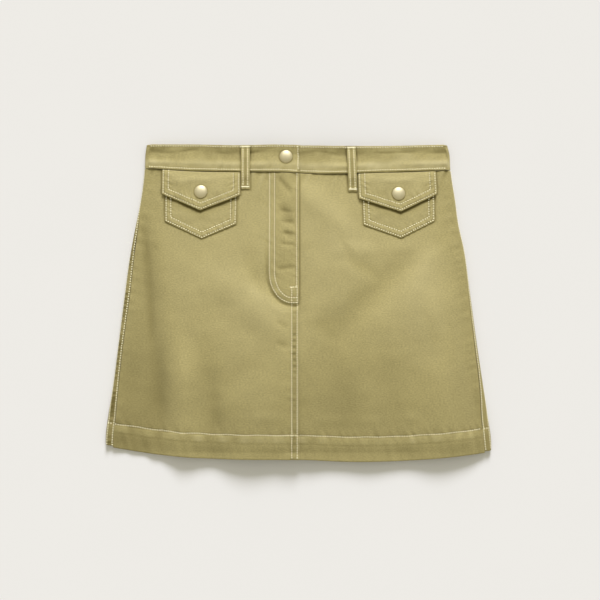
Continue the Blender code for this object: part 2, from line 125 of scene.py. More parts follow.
# A soft ridge, or a trough where the height is negative, from one point to another. It bows to
# its own left by `bow` at the middle, and `width` is its half-width.
Fold = namedtuple("Fold", "name x0 y0 x1 y1 bow width height")
FOLDS = (
    Fold("left trough", -188, 104, -168, -150, 3, 14, -4.2),
    Fold("left trough at the hem", -168, -90, -176, -200, 0, 19, -3.6),
    Fold("left ridge", -136, -50, -138, -200, 0, 12, 3.4),
    Fold("second trough", -112, -50, -102, -200, 3, 14, -2.8),
    Fold("left edge falling in", -198, -30, -208, -300, 0, 22, -3.2),
    Fold("hem swell, left of centre", -58, -90, -46, -210, 0, 36, 4.2),
    Fold("belly, left of centre", -104, -52, 22, -76, 0, 58, 3.4),
    Fold("diagonal below the fly", -112, 44, -18, -38, 0, 21, 3.2),
    Fold("hollow round the fly", -60, 66, 2, -14, -17, 12, -2.2),
    Fold("swell right of the fly", 6, 0, 66, -6, 0, 28, 1.6),
    Fold("upper right ridge", -6, 142, 92, 58, 0, 16, 3.2),
    Fold("upper right swell", -30, 110, 66, 34, 0, 34, 2.4),
    Fold("right trough", 172, 84, 22, -52, 0, 16, -3.0),
    Fold("right ridge", 150, 10, 86, -80, 0, 34, 2.0),
    Fold("centre dip at the hem", 44, 6, 54, -205, 4, 28, -3.6),
    Fold("right dip at the hem", 98, -30, 118, -205, 0, 20, -1.8),
    Fold("right swell at the hem", 148, 90, 190, -230, 0, 30, 6.4),
)

# The smaller creases of the two fronts, over the folds.
CREASES = (
    Fold("left trough's sharp bottom", -188, 106, -176, -60, 2, 4.5, -2.0),
    Fold("left trough widening", -168, -50, -164, -152, 0, 9, -1.2),
    Fold("second trough at the hem", -103, -104, -98, -156, 0, 8, -1.0),
    Fold("fly blotch", -20, 118, -8, 90, 0, 6, -2.2),
    Fold("fly lower blotch", -17, 86, -8, 76, 0, 4, -1.4),
    Fold("fly top crease", -26, 152, -8, 130, 0, 3.5, -1.5),
    Fold("fly pucker, first", -24, 111, -3, 108, 0, 2.0, -1.0),
    Fold("fly pucker, second", -22, 98, -3, 96, 0, 2.0, -1.1),
    Fold("fly pucker, third", -20, 84, -3, 82, 0, 2.2, -1.1),
    Fold("fly pucker, fourth", -23, 71, -3, 69, 0, 2.2, -1.1),
    Fold("fly pucker, fifth", -26, 40, -3, 43, 0, 2.6, -1.1),
    Fold("bright flank under the fly", -66, 22, -12, -18, 0, 8, 1.3),
    Fold("right trough softening", 66, -6, 18, -56, 0, 14, 0.8),
    Fold("tuck left of the seam", -28, -22, -12, -30, 0, 4, -0.8),
    Fold("second tuck", -27, -47, -12, -54, 0, 4, -0.8),
    Fold("right short trough", 44, 58, 100, 30, 0, 8, -0.8),
    Fold("right short ridge", 34, 90, 60, 34, 0, 8, 0.9),
    Fold("crease from the centre seam", 18, -20, 48, -50, 0, 9, -0.6),
    Fold("right lower ridge", 46, -38, 92, -126, 0, 15, 0.9),
    Fold("right edge crease", 150, -10, 166, -56, 0, 7, -0.7),
    Fold("right edge crease, low", 214, -106, 222, -152, 0, 7, -1.0),
    Fold("light at the right pocket", 160, 74, 134, -4, 0, 10, 0.8),
    Fold("puff over the hem, left", -62, -137, -8, -139, 0, 7, 0.5),
    Fold("puff over the hem, centre", 16, -138, 58, -140, 0, 7, 0.5),
    Fold("puff over the hem, right", 72, -141, 100, -141, 0, 6, 0.5),
    Fold("puff over the hem, far right", 128, -139, 150, -139, 0, 6, 0.5),
)

# The waistband's own creases on the front.
BAND_CREASES = (
    Fold("right of the loop", 76, 157, 112, 177, 0, 6, 1.7),
    Fold("top edge, centre right", 2, 179, 56, 179, 0, 6, -0.5),
    Fold("top edge, far right", 120, 181, 190, 181, 0, 6, -0.7),
    Fold("top edge, far left", -184, 180, -168, 180, 0, 6, -0.4),
    Fold("under the left loop", -60, 158, -36, 160, 0, 4, -0.6),
    Fold("under the right loop", 46, 157, 62, 160, 0, 4, -0.5),
)

# The flaps' creases, pressed in below the waist seam.
FLAP_CREASES = (
    Fold("left flap, upper", -154, 147, -92, 148, 0, 4, 0.8),
    Fold("left flap, lower", -146, 138, -128, 131, 0, 5, -0.5),
    Fold("left flap, by the snap", -106, 132, -88, 137, 0, 5, 0.5),
    Fold("right flap, upper", 84, 146, 150, 148, 0, 4, 0.8),
    Fold("right flap, lower", 86, 133, 106, 128, 0, 5, -0.5),
    Fold("right flap, by the snap", 132, 130, 150, 137, 0, 5, 0.5),
)

# How far the hem's lower edge curls down, along its length.
Curl = namedtuple("Curl", "x drop")
CURLS = (
    Curl(-232, 1.6), Curl(-212, 1.8), Curl(-198, 0.2), Curl(-186, 1.4), Curl(-176, 0.2),
    Curl(-166, 1.3), Curl(-140, 0.1), Curl(-100, 2.0), Curl(-70, 0.3), Curl(-34, 1.6),
    Curl(-6, 0.4), Curl(32, 1.6), Curl(80, 0.2), Curl(112, 1.4), Curl(132, 2.2),
    Curl(158, 0.2), Curl(198, 1.6), Curl(212, 0.4), Curl(232, 1.6),
)

# Across the waistband: full along both edges, with a hollow between.
Across = namedtuple("Across", "down height")
BAND_FORM = (
    Across(0, 0.4), Across(2, 0.2), Across(8, -1.3), Across(14, -0.8), Across(17, -0.3),
    Across(21.5, 1.1), Across(26, 0.6), Across(28.6, 0.6), Across(30, -0.2),
)

# A pointed patch's corners: top left and right, bottom left and right, and its point. A flap's
# upper edge follows the waist seam.
Patch = namedtuple("Patch", "name tl tr bl br point")
# A place on one: down and across it from 0 to 1, how far in from the nearest sewn edge, and how
# far along that edge.
Place = namedtuple("Place", "x y down across inset along")
POCKETS = (
    Patch("pocket_left", (-160.6, 150.5), (-73.8, 149.0), (-160.2, 98.4), (-74.8, 94.9),
          (-116.0, 77.4)),
    Patch("pocket_right", (75.6, 148.6), (162.8, 150.4), (77.8, 94.0), (163.4, 98.8),
          (122.8, 78.2)),
)
FLAPS = (
    Patch("flap_left", (-163.8, None), (-70.3, None), (-164.2, 131.6), (-70.1, 129.7),
          (-117.6, 111.3)),
    Patch("flap_right", (71.3, None), (164.6, None), (72.2, 125.8), (166.2, 131.3),
          (122.4, 109.9)),
)
SNAPS = {"waist": (-15.1, 175.7), "left": (-117.1, 133.6), "right": (119.8, 131.3)}

# A snap cap's section, from the top of its dome out to its rolled edge and in again.
Turning = namedtuple("Turning", "radius height")
CAP = (
    Turning(0.0, 3.0), Turning(1.2, 2.97), Turning(2.4, 2.86), Turning(3.6, 2.66),
    Turning(4.7, 2.36), Turning(5.7, 1.97), Turning(6.5, 1.54), Turning(7.15, 1.08),
    Turning(7.6, 0.66), Turning(7.85, 0.34), Turning(7.9, 0.14), Turning(7.6, 0.0),
    Turning(0.0, 0.0),
)
CAP_LIFT, CAP_SEGMENTS = GAP - 0.1, 72

Loop = namedtuple("Loop", "name top bottom")
LOOPS = (
    Loop("belt_loop_left", (-63.9, 189.0), (-63.8, 136.6)),
    Loop("belt_loop_right", (63.0, 187.8), (65.2, 133.6)),
)

# Where the rows of topstitching run, as distances from the edges they follow.
HEM_ROW, HEM_TUCK = 29.8, 19.8  # the hem's stitching, and the crease of its turned-under edge
BAND_ROWS = (1.8, 27.3)  # below the waistband's top edge
BAND_END_ROW, BAND_END_Y = 1.8, (188.4, 158.6)  # the row down its upper end
FLAP_ROWS = (1.7, 7.8)
POCKET_ROWS = (1.4, 6.9)
LOOP_ROW = 2.8  # each side of a belt loop's middle
SIDE_ROWS = (1.2, 7.6)  # on the back panel's side of a side seam
STRIP_IN = 7.4  # how far in the hem's row runs on the back panel's strip of the front
TWIN_ROWS, TWIN_END = (-8.2, -1.6), -187.0  # x of the centre seam's two rows, and y of their ends
FLY_EDGE_ROW, FLY_FOOT = -2.2, 19.4  # x of the row along the fly's edge, and y where it stops
FLY_TOP, FLY_FOOT_ROW = 155.6, (-10.2, -1.0)  # y where its rows start; x of the row at its foot
FLY_CENTRE, FLY_WIDE, FLY_DEEP = (-8.0, 37.0), 26.7, 36.3  # the J's curve: a quarter ellipse
FLY_ROWS = (0.0, 5.95)  # the two Js, inwards from the outer one


def linear(hex_colour):
    """An sRGB hex colour, such as 0xB9AC79, as linear red, green and blue."""
    parts = [(hex_colour >> shift & 255) / 255 for shift in (16, 8, 0)]
    return tuple(c / 12.92 if c <= 0.04045 else ((c + 0.055) / 1.055) ** 2.4 for c in parts)


def lerp(a, b, share):
    return a + (b - a) * share


def smoothstep(x, start, end):
    s = np.clip((x - start) / (end - start), 0, 1)
    return s * s * (3 - 2 * s)


def curve(at, xs, ys):
    """A smooth curve through a table's points, level beyond its ends."""
    xs, ys = np.array(xs, float), np.array(ys, float)
    slope = np.gradient(ys, xs)
    at = np.clip(at, xs[0], xs[-1])
    k = np.clip(np.searchsorted(xs, at) - 1, 0, len(xs) - 2)
    wide = xs[k + 1] - xs[k]
    s = (at - xs[k]) / wide
    return (
        (1 + 2 * s) * (1 - s) ** 2 * ys[k]
        + s * s * (3 - 2 * s) * ys[k + 1]
        + s * (1 - s) * wide * ((1 - s) * slope[k] - s * slope[k + 1])
    )


def read(table, at, column):
    """A table's column as a smooth curve over its first one."""
    return curve(at, [row[0] for row in table], [getattr(row, column) for row in table])


def section(y, column):
    return read(SECTIONS, y, column)


def edge(x, column):
    return read(EDGES, x, column)


def edge_from(x, left, right, column):
    """The y of an edge, at the same share of its width as x has between left and right."""
    share = np.where(x < 0, x / left, x / right)
    return edge(share * np.where(x < 0, *ENDS[column]), column)


def side_y(k, share, edges=BODY):
    """The y of a side fold, 0 left and 1 right, at a share of the way between two edges."""
    upper, lower = (edge(ENDS[column][k], column) for column in edges)
    return lerp(upper, lower, share)


def fold_sum(table, x, y):
    """The height that a table of folds adds."""
    total = np.zeros(np.broadcast(x, y).shape)
    for f in table:
        run = math.hypot(f.x1 - f.x0, f.y1 - f.y0)
        ax, ay = (f.x1 - f.x0) / run, (f.y1 - f.y0) / run
        along = ((x - f.x0) * ax + (y - f.y0) * ay) / run
        across = -(x - f.x0) * ay + (y - f.y0) * ax
        s = np.clip(along, 0, 1)
        off = across - 4 * f.bow * s * (1 - s)
        ends = smoothstep(along, -0.12, 0.3) * (1 - smoothstep(along, 0.7, 1.12))
        total = total + f.height * np.exp(-((off / f.width) ** 2)) * ends
    return total


def waves(s, seed, short, long, count=9):
    """Uneven waves along a seam: count sines between two wavelengths, about 1 high."""
    rng = np.random.default_rng(seed)
    total = np.zeros(np.shape(s))
    for _ in range(count):
        total = total + np.sin(2 * math.pi * s / rng.uniform(short, long) + rng.uniform(0, 7))
    return total * math.sqrt(2 / count)


def crumple(x, y, seed, short, long, count=26):
    """Uneven waves in every direction, about 1 high."""
    rng = np.random.default_rng(seed)
    total = np.zeros(np.broadcast(x, y).shape)
    for _ in range(count):
        turn, size = rng.uniform(0, math.pi), 2 * math.pi / rng.uniform(short, long)
        total = total + np.sin((x * math.cos(turn) + y * math.sin(turn)) * size + rng.uniform(0, 7))
    return total * math.sqrt(2 / count)


def pucker(s, d, seed, short=5.0, long=11.0, reach=5.0, lean=0.6):
    """The cloth gathered along a row of stitching: s runs along the row and d is off it."""
    return waves(s + lean * d, seed, short, long) * np.exp(-np.abs(d) / reach)


def groove(d, half=0.9):
    """1 on a line, where d is 0, and nothing further off than about twice half."""
    return np.exp(-((d / half) ** 2))


def grooves(d, rows):
    return sum(groove(d - at) for at in rows)


def stitched_in(s, d, rows, seed, deep, gather, *size):
    """Rows of stitching, each pressed in with the cloth gathered along it."""
    return sum(gather * pucker(s, d - at, seed + k, *size) - deep * groove(d - at)
               for k, at in enumerate(rows))


def arch(x, y):
    """The body's plain height, and how far in from the side fold's arc a point lies."""
    wide = np.where(x < 0, -section(y, "left"), section(y, "right")) - FOLD_R
    u = np.clip(np.abs(x) / wide, 0, 1)
    low = 2 * FOLD_R
    return low + (section(y, "crown") - low) * (1 - u**CROWN_POWER), wide - np.abs(x)


def front(x, y):
    """Height of the fronts' plain form, with the large folds. They die out towards the waistband,
    under the pockets and at the side folds."""
    height, inside = arch(x, y)
    off_pocket = smoothstep(np.abs(np.abs(x) - POCKET_X), 46, 66) + smoothstep(-y, -78, -56)
    calm = smoothstep(-y, -156, -136) * np.clip(off_pocket, 0, 1) * smoothstep(inside, 0, 26)
    return height + FULLER * fold_sum(FOLDS, x, y) * calm


def back(x, y):
    """Height of the back's plain form: on the floor, but lifted over its belt loops."""
    rise = np.zeros(np.broadcast(x, y).shape)
    for middle in BACK_LOOPS:
        near = 1 - smoothstep(np.abs(x - middle), *LOOP_CLEAR)
        rise = np.maximum(rise, (LOOP_PLY + PASSING) * near)
    return rise * smoothstep(y, *LOOP_CLEAR_Y)


def share_at(x, y):
    """How far down a panel a point lies, from 0 at the waist seam to 1 at the hem."""
    share = np.full(np.broadcast(x, y).shape, 0.5)
    for _ in range(4):
        sides = [section(side_y(k, share), column) for k, column in enumerate(("left", "right"))]
        seam, hem = (edge_from(x, *sides, column) for column in BODY)
        share = np.clip((seam - y) / (seam - hem), 0, 1)
    return share


def hem_relief(s, d, seed):
    """A turned-up hem: raised between its stitching and the crease of its turned-under edge."""
    full = 0.85 + 0.35 * waves(s, seed + 2, 12, 34)
    band = full * (0.4 * smoothstep(d, 18.2, 21.0) + 0.15 * smoothstep(d, 9, 22)
                   - 0.55 * smoothstep(d, 26.4, 30.4))
    low = 0.08 * (1 - smoothstep(d, 16.5, 20.4))
    lines = -0.45 * groove(d - HEM_ROW) - 0.12 * groove(d - HEM_TUCK, 1.7)
    rope = 0.2 * pucker(s, d - HEM_ROW, seed, 7, 19, 4.5, 0.5)
    roll = 0.05 * waves(s + 0.3 * d, seed + 1, 9, 24) * (1 - smoothstep(d, 16, 30))
    return band + low + lines + rope + roll


def painted_pucker_shade(s, off, half, seed):
    """Painted shade for the puckers between two rows of stitching: s runs along the rows."""
    uneven = 0.55 + 0.5 * waves(s, seed, 5.2, 8.6, 5) + 0.3 * waves(s, seed + 1, 30, 90)
    return np.clip(uneven, 0, 1.5) * np.exp(-((off / half) ** 4))


def fly_depth(x, y):
    """How far inside the outer stitched J a point lies, towards the centre front."""
    across, below = x - FLY_CENTRE[0], np.minimum(y - FLY_CENTRE[1], 0)
    q = np.sqrt((across / FLY_WIDE) ** 2 + (below / FLY_DEEP) ** 2) + 1e-9
    reach = lerp(FLY_WIDE, FLY_DEEP, (below / FLY_DEEP / q) ** 2)
    return (1 - q) * reach


def painted_light_falloff(share, x=0.0):
    """Painted light falloff: the upper part of the garment is painted a little paler, and the lower
    part and the hem darker; painted shade also darkens the cloth towards the side seams."""
    low = 0.5 * smoothstep(share, 0.3, 0.85) + 0.4 * smoothstep(share, 0.88, 0.93)
    return 0.3 - low - 0.6 * smoothstep(np.abs(x), 130, 215)


def outline_gap(corners, x, y):
    """How far outside a convex outline a point lies. The corners run anticlockwise."""
    gap = np.full(np.broadcast(x, y).shape, -1e3)
    for (x0, y0), (x1, y1) in zip(corners, corners[1:] + corners[:1]):
        run = math.hypot(x1 - x0, y1 - y0)
        gap = np.maximum(gap, ((x - x0) * (y1 - y0) - (y - y0) * (x1 - x0)) / run)
    return gap


def painted_contact_shadow(x, y):
    """1 in the narrow line of cloth beside the pockets, flaps and loops, where a contact shadow is
    painted.
    """
    total = np.zeros(np.broadcast(x, y).shape)
    outlines = [[p.bl, p.point, p.br, (p.tr[0], WAIST_Y), (p.tl[0], WAIST_Y)]
                for p in POCKETS + FLAPS]
    for loop in LOOPS:
        ends = ((loop.bottom, (-LOOP_HALF, LOOP_HALF)), (loop.top, (LOOP_HALF, -LOOP_HALF)))
        outlines.append([(at[0] + off, at[1]) for at, sides in ends for off in sides])
    for corners in outlines:
        gap = outline_gap(corners, x, y)
        total = np.maximum(total, smoothstep(gap, -1.5, 0) * (1 - smoothstep(gap, 0.6, 2.6)))
    return total


def painted_cap_shadow(x, y):
    """1 in the narrow ring of cloth round a snap's cap, where a shadow is painted."""
    near = np.min([np.hypot(x - sx, y - sy) for sx, sy in SNAPS.values()], axis=0)
    return 1 - smoothstep(near, 8.0, 9.2)


def painted_fold_shading(x, y):
    """Painted shade in troughs and painted highlight on ridges, and painted shade on the fly,
    outside the J's rim, between the centre seam's rows and in the lap's step.
    """
    height = fold_sum(FOLDS, x, y) + 3.2 * fold_sum(CREASES, x, y)
    depth = fly_depth(x, y)
    left = x < LAP_END
    fly = smoothstep(depth, -2, 5) * smoothstep(y, -4, 6) * left
    rim = groove(depth + 2.9, 2.6) * (1 - smoothstep(y, 30, 90)) * smoothstep(y, -4, 2) * left
    twin = painted_pucker_shade(y, x - sum(TWIN_ROWS) / 2, 2.6, 45) * (1 - smoothstep(y, -8, 4)) * left
    lap = (1 - smoothstep(x, 1.4, 3.2)) * smoothstep(y, -6, 8) * ~left
    painted_shadows = 0.4 * fly + 1.0 * rim + 1.9 * twin * (0.45 + 0.55 * smoothstep(y, -120, -30)) + 1.9 * lap
    return 0.11 * np.minimum(height, 0) + 0.06 * np.maximum(height, 0) - painted_shadows


def fly_relief(x, y):
    """The fly's facing stands under the left front: a soft rise to its J, then its two rows."""
    depth = fly_depth(x, y)
    rise = 1.0 * smoothstep(depth, -5.5, 0.4) + 0.5 * smoothstep(depth, -17, -4)
    gather = stitched_in(y, depth, FLY_ROWS, 31, 0.0, 0.16, 7, 16)
    curl = (1 - smoothstep(y, 30, 70)) * smoothstep(depth, -24, -12)
    rise = rise + (0.9 * groove(depth + 14, 7) - 1.3 * groove(depth + 3.8, 2.8)) * curl
    return rise, gather * smoothstep(y, -8, 10) - 0.32 * grooves(depth, FLY_ROWS)


def centre_relief(x, y):
    """The left front's edge: one row above the fly's foot, and two rows below it. The seam
    allowance inside lifts it, and the second value is the rows' own relief."""
    low = 1 - smoothstep(y, FLY_FOOT - 2, FLY_FOOT + 2)
    allowance = 0.45 * smoothstep(x, -10.8, -8.8) * low
    twin = stitched_in(y, x, TWIN_ROWS, 41, 0.32, 0.12, 6, 15, 4.0, 0.3)
    single = stitched_in(y, x, (FLY_EDGE_ROW,), 43, 0.3, 0.22, 6, 14, 5.0)
    return allowance, lerp(single, twin, low)


def front_relief(side, x, y):
    """A front's small relief over its plain form, as its soft part and its fine one. Side -1 is
    the left front, and 1 the right one."""
    share = share_at(x, y)
    above, below = (1 - share) * LENGTH, share * LENGTH
    inside = arch(x, y)[1] + FOLD_R
    fine = hem_relief(x, above, 11)
    fine = fine + 0.25 * pucker(x, below, 13, 6, 15, 10.0, 0.4) - 0.4 * np.exp(-below / 2.5)
    fine = fine + 0.1 * pucker(y, inside - 8, 15 + side, 8, 18, 7.0, 0.3)
    rise = 0.0
    if side < 0:
        rise, rows = fly_relief(x, y)
        allowance, centre = centre_relief(x, y)
        rise, fine = rise + allowance, fine + rows + centre
    calm = smoothstep(inside, 3, 14)
    drop = read(CURLS, x, "drop") * (1 - smoothstep(above, 2, 20)) * smoothstep(inside, 2, 10)
    soft = fold_sum(CREASES, x, y) + 0.2 * crumple(x, y, 5, 36, 90)
    soft = soft + 0.06 * crumple(x, y, 6, 12, 30)
    return soft * calm - drop + rise, fine * smoothstep(inside, 1, 6)


def painted_stitch_shade(side, x, y):
    """1 along the fronts' rows of stitching, where shade is painted in the needle's holes."""
    lines = groove((1 - share_at(x, y)) * LENGTH - HEM_ROW)
    if side < 0:
        edge_row = np.where(y < FLY_FOOT, grooves(x, TWIN_ROWS), groove(x - FLY_EDGE_ROW))
        lines = lines + grooves(fly_depth(x, y), FLY_ROWS) + edge_row
    return np.clip(lines, 0, 1)


def lap_lift(side, x, share):
    """At centre front the two fronts move apart by half a ply each, the left one outwards."""
    in_hem = share > 1 - HEM_DEPTH / LENGTH
    step = (np.where(in_hem, HEM_PLY, PLY) + GAP) / 2 + 0.05
    if side < 0:
        return step * smoothstep(x, -27, -13)
    return -step * (1 - smoothstep(x, 2, 16))


def front_face(side):
    """The height of a front's outer face. The place along the ring doesn't change it."""
    def height(x, y, t=None):
        soft, fine = front_relief(side, x, y)
        return front(x, y) + lap_lift(side, x, share_at(x, y)) + soft + fine

    return height


def back_face(x, y, t=None):
    """The back lies on the floor, so that its creases only press inwards, which is upwards."""
    share = share_at(x, y)
    above = (1 - share) * LENGTH
    inside = np.minimum(x - section(y, "left"), section(y, "right") - x)
    soft = 1.1 * np.maximum(crumple(x, y, 21, 40, 150) + 0.1, 0) ** 1.3
    soft = soft + 0.35 * np.maximum(crumple(x, y, 22, 14, 44), 0)
    hem = hem_relief(x, above - BACK_SHORT, 23)
    edges = smoothstep(inside, 3, 30) * smoothstep(above, 0, 24)
    return back(x, y) + soft * edges * smoothstep(share, 0.0, 0.06) + np.clip(0.4 - hem, 0, 1)


class Ring:
    """The outer face all round at one level. Along it, 0 is the left outline, positive numbers
    run over the front, and negative ones under the back, to `half` at the right outline."""

    def __init__(self, share, edges=BODY, over=None, under=None, radius=FOLD_R):
        self.share, self.edges, self.radius = share, edges, radius
        self.over, self.under = over, under
        self.side_y = [float(side_y(k, share, edges)) for k in (0, 1)]
        self.left = float(section(self.side_y[0], "left"))
        self.right = float(section(self.side_y[1], "right"))
        self.quarter = radius * math.pi / 2
        self.half = self.right - self.left - 2 * radius + 2 * self.quarter

    def y_of(self, x):
        upper, lower = (edge_from(x, self.left, self.right, column) for column in self.edges)
        return lerp(upper, lower, self.share)

    def on_front(self, x):
        """The place of an x on the front's face."""
        return self.quarter + x - self.left - self.radius

    def inset_place(self, inset):
        """How far along the ring a point lies that is inset from the outline."""
        inset = max(inset, 0.22)
        if inset < self.radius:
            return self.radius * math.acos(1 - inset / self.radius)
        return self.quarter + inset - self.radius

    def seam(self, k):
        """The place of a side seam on the front's face: 0 is the left one and 1 the right one."""
        inset = self.inset_place(float(section(self.side_y[k], ("seam_left", "seam_right")[k])))
        return self.half - inset if k else inset

    def points(self, t):
        """The points at the places t, on the face over or under and round the two folds."""
        r, q = self.radius, self.quarter
        t = np.asarray(t, float)
        around = (t + self.half) % (2 * self.half) - self.half
        far = np.abs(around)
        x = self.left + r + far - q
        left_arc, right_arc = far < q, far > self.half - q
        turn = np.where(left_arc, far, self.half - far) / r
        x = np.where(left_arc, self.left + r - r * np.cos(turn), x)
        x = np.where(right_arc, self.right - r + r * np.cos(turn), x)
        y = self.y_of(x)
        side = np.where(around > 0, 1.0, -1.0)
        z = np.where(around > 0, self.over(x, y, t), self.under(x, y, t))
        z = np.where(left_arc | right_arc, r + side * r * np.sin(turn), z)
        return np.stack([x, y, z], -1)


def unit(vectors):
    return vectors / np.maximum(np.linalg.norm(vectors, axis=-1, keepdims=True), 1e-12)


def normals_of(grid):
    """Unit normals of a grid whose rows run down and whose columns run round the body."""
    return unit(np.cross(np.gradient(grid, axis=0), np.gradient(grid, axis=1)))


def spaced(start, end, step):
    """Even places from start to end, about step apart."""
    return np.linspace(start, end, max(2, round(abs(end - start) / step) + 1))


def joined(*runs):
    """Runs of places end to end, without the places they share."""
    return np.concatenate([run if k == 0 else run[1:] for k, run in enumerate(runs)])


def stacked(x, y, z):
    return np.stack(np.broadcast_arrays(x, y, z), -1)


def finish_piece(obj, material, slot, *nodes):
    """A piece's material, the body it rides on and the nodes it stands for; slot is not used."""
    obj.data.materials.append(material)
    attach(obj, ROOT)
    if nodes:
        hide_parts(*nodes)
    return obj


def mesh_object(name, points, faces, attributes):
    """A smooth mesh from points in millimetres, with a value or a vector at each for the looks."""
    mesh = bpy.data.meshes.new(name)
    mesh.from_pydata(np.asarray(points) * MM, [], faces)
    mesh.polygons.foreach_set("use_smooth", np.ones(len(mesh.polygons), bool))
    for label, values in attributes.items():
        values = np.asarray(values, float)
        kind, field = ("FLOAT", "value") if values.ndim == 1 else ("FLOAT_VECTOR", "vector")
        layer = mesh.attributes.new(label, kind, "POINT")
        layer.data.foreach_set(field, values.ravel())
    mesh.update()
    obj = bpy.data.objects.new(name, mesh)
    bpy.context.scene.collection.objects.link(obj)
    return obj


def shell(name, grid, cut, painted_shading_and_wear, thickness):
    """A cloth piece: the grid is its outer face, and its edges are rounded, as turned cloth is.
    cut holds each point's place in the flat cloth; the colour shift is painted light and shade,
    much of it from how far a point stands out or in, with the rounded rim rubbed paler."""
    rows, columns = grid.shape[:2]
    normals = normals_of(grid)
    thick = np.broadcast_to(np.reshape(thickness, (-1, 1)), (rows, columns))[..., None]
    inner = grid - normals * thick
    index = np.arange(rows * columns).reshape(rows, columns)
    a, b, c, d = index[:-1, :-1], index[:-1, 1:], index[1:, 1:], index[1:, :-1]
    outer_faces = np.stack([a, d, c, b], -1).reshape(-1, 4)
    inner_faces = np.stack([a, b, c, d], -1).reshape(-1, 4) + rows * columns
    rim = np.concatenate([index[0, :-1], index[:-1, -1], index[-1, :0:-1], index[:0:-1, 0]])
    out = np.zeros_like(grid)
    out[0] += unit(grid[0] - grid[1])
    out[-1] += unit(grid[-1] - grid[-2])
    out[:, 0] += unit(grid[:, 0] - grid[:, 1])
    out[:, -1] += unit(grid[:, -1] - grid[:, -2])
    flat = [v.reshape(-1, v.shape[-1])[rim] for v in (grid, normals, unit(out), thick)]
    start, normal, away, deep = flat
    layers, faces = [], [outer_faces, inner_faces]
    previous = rim
    for turn in (math.pi / 4, math.pi / 2, 3 * math.pi / 4):
        layers.append(start + deep / 2 * (away * math.sin(turn) - normal * (1 - math.cos(turn))))
        here = 2 * rows * columns + len(rim) * (len(layers) - 1) + np.arange(len(rim))
        faces.append(np.stack([previous, np.roll(previous, -1), np.roll(here, -1), here], -1))
        previous = here
    last = rim + rows * columns
    faces.append(np.stack([previous, np.roll(previous, -1), np.roll(last, -1), last], -1))
    cut, painted_shading_and_wear = cut.reshape(-1, 3), painted_shading_and_wear.ravel()
    points = np.concatenate([grid.reshape(-1, 3), inner.reshape(-1, 3), *layers])
    return mesh_object(name, points, np.concatenate(faces), {
        "cut": np.concatenate([cut, cut, *[cut[rim]] * 3]),
        "painted_shading_and_wear": np.concatenate([painted_shading_and_wear, painted_shading_and_wear * 0, *[painted_shading_and_wear[rim] + EDGE_WEAR] * 3]),
    })


def cloth_piece(node, grid, cut, painted_shading_and_wear, thickness, scene):
    """A shell in the skirt's twill, in place of the solid called node."""
    piece = shell(f"{node}_cloth", grid, cut, painted_shading_and_wear, thickness)
    twill = material_named("garment-washed cotton twill", washed_twill, scene.skirt_cloth)
    return finish_piece(piece, twill, node, node)


def tree_of(obj):
    """The object's faces in millimetres, for laying stitches on."""
    mesh = obj.data
    return BVHTree.FromPolygons(
        [v.co / MM for v in mesh.vertices], [tuple(p.vertices) for p in mesh.polygons])


def laid(tree, path, aim):
    """A path in millimetres, put on a piece from outside along aim where it has no height, and
    the face's normals. Rows underneath are pressed in, because the garment lies on them."""
    spots, normals = [], []
    toward = Vector(aim)
    for place in path:
        if len(place) == 2:
            hit, normal, *_ = tree.ray_cast(Vector((*place, 0.0)) + toward * ABOVE, -toward)
        else:
            hit, normal, *_ = tree.find_nearest(Vector(place))
        if hit is None:
            continue
        spots.append(hit - normal * PRESSED * max(0.0, -normal.z))
        normals.append(normal)
    return np.array(spots), np.array(normals)


def stitched(tree, path, aim, seed):
    """A row of stitches: its path on a piece, its normals and the seed of its unevenness."""
    return (*laid(tree, path, aim), seed)


def run_of(path):
    """How far along a path each of its points lies."""
    return np.concatenate([[0], np.cumsum(np.linalg.norm(np.diff(path, axis=0), axis=1))])


def interpolated(at, run, values):
    """A path's points, or the normals along it, at the distances at."""
    return np.stack([np.interp(at, run, column) for column in values.T], -1)


def even_path(points, step=0.5):
    """A path's points, about step apart along it."""
    points = np.asarray(points, float)
    run = run_of(points)
    return interpolated(np.linspace(0, run[-1], max(3, int(run[-1] / step) + 1)), run, points)


def stitch_faces(sides, stations):
    """One stitch's faces: the tube's, and those that close its two pointed ends."""
    k = np.arange(sides)
    n = (k + 1) % sides
    last, tip = (stations - 1) * sides, stations * sides
    tube = [np.stack([i + k, i + n, i + sides + n, i + sides + k], -1)
            for i in range(0, last, sides)]
    ends = [np.stack([np.full(sides, tip), n, k], -1),
            np.stack([np.full(sides, tip + 1), last + k, last + n], -1)]
    return np.concatenate(tube), np.concatenate(ends)


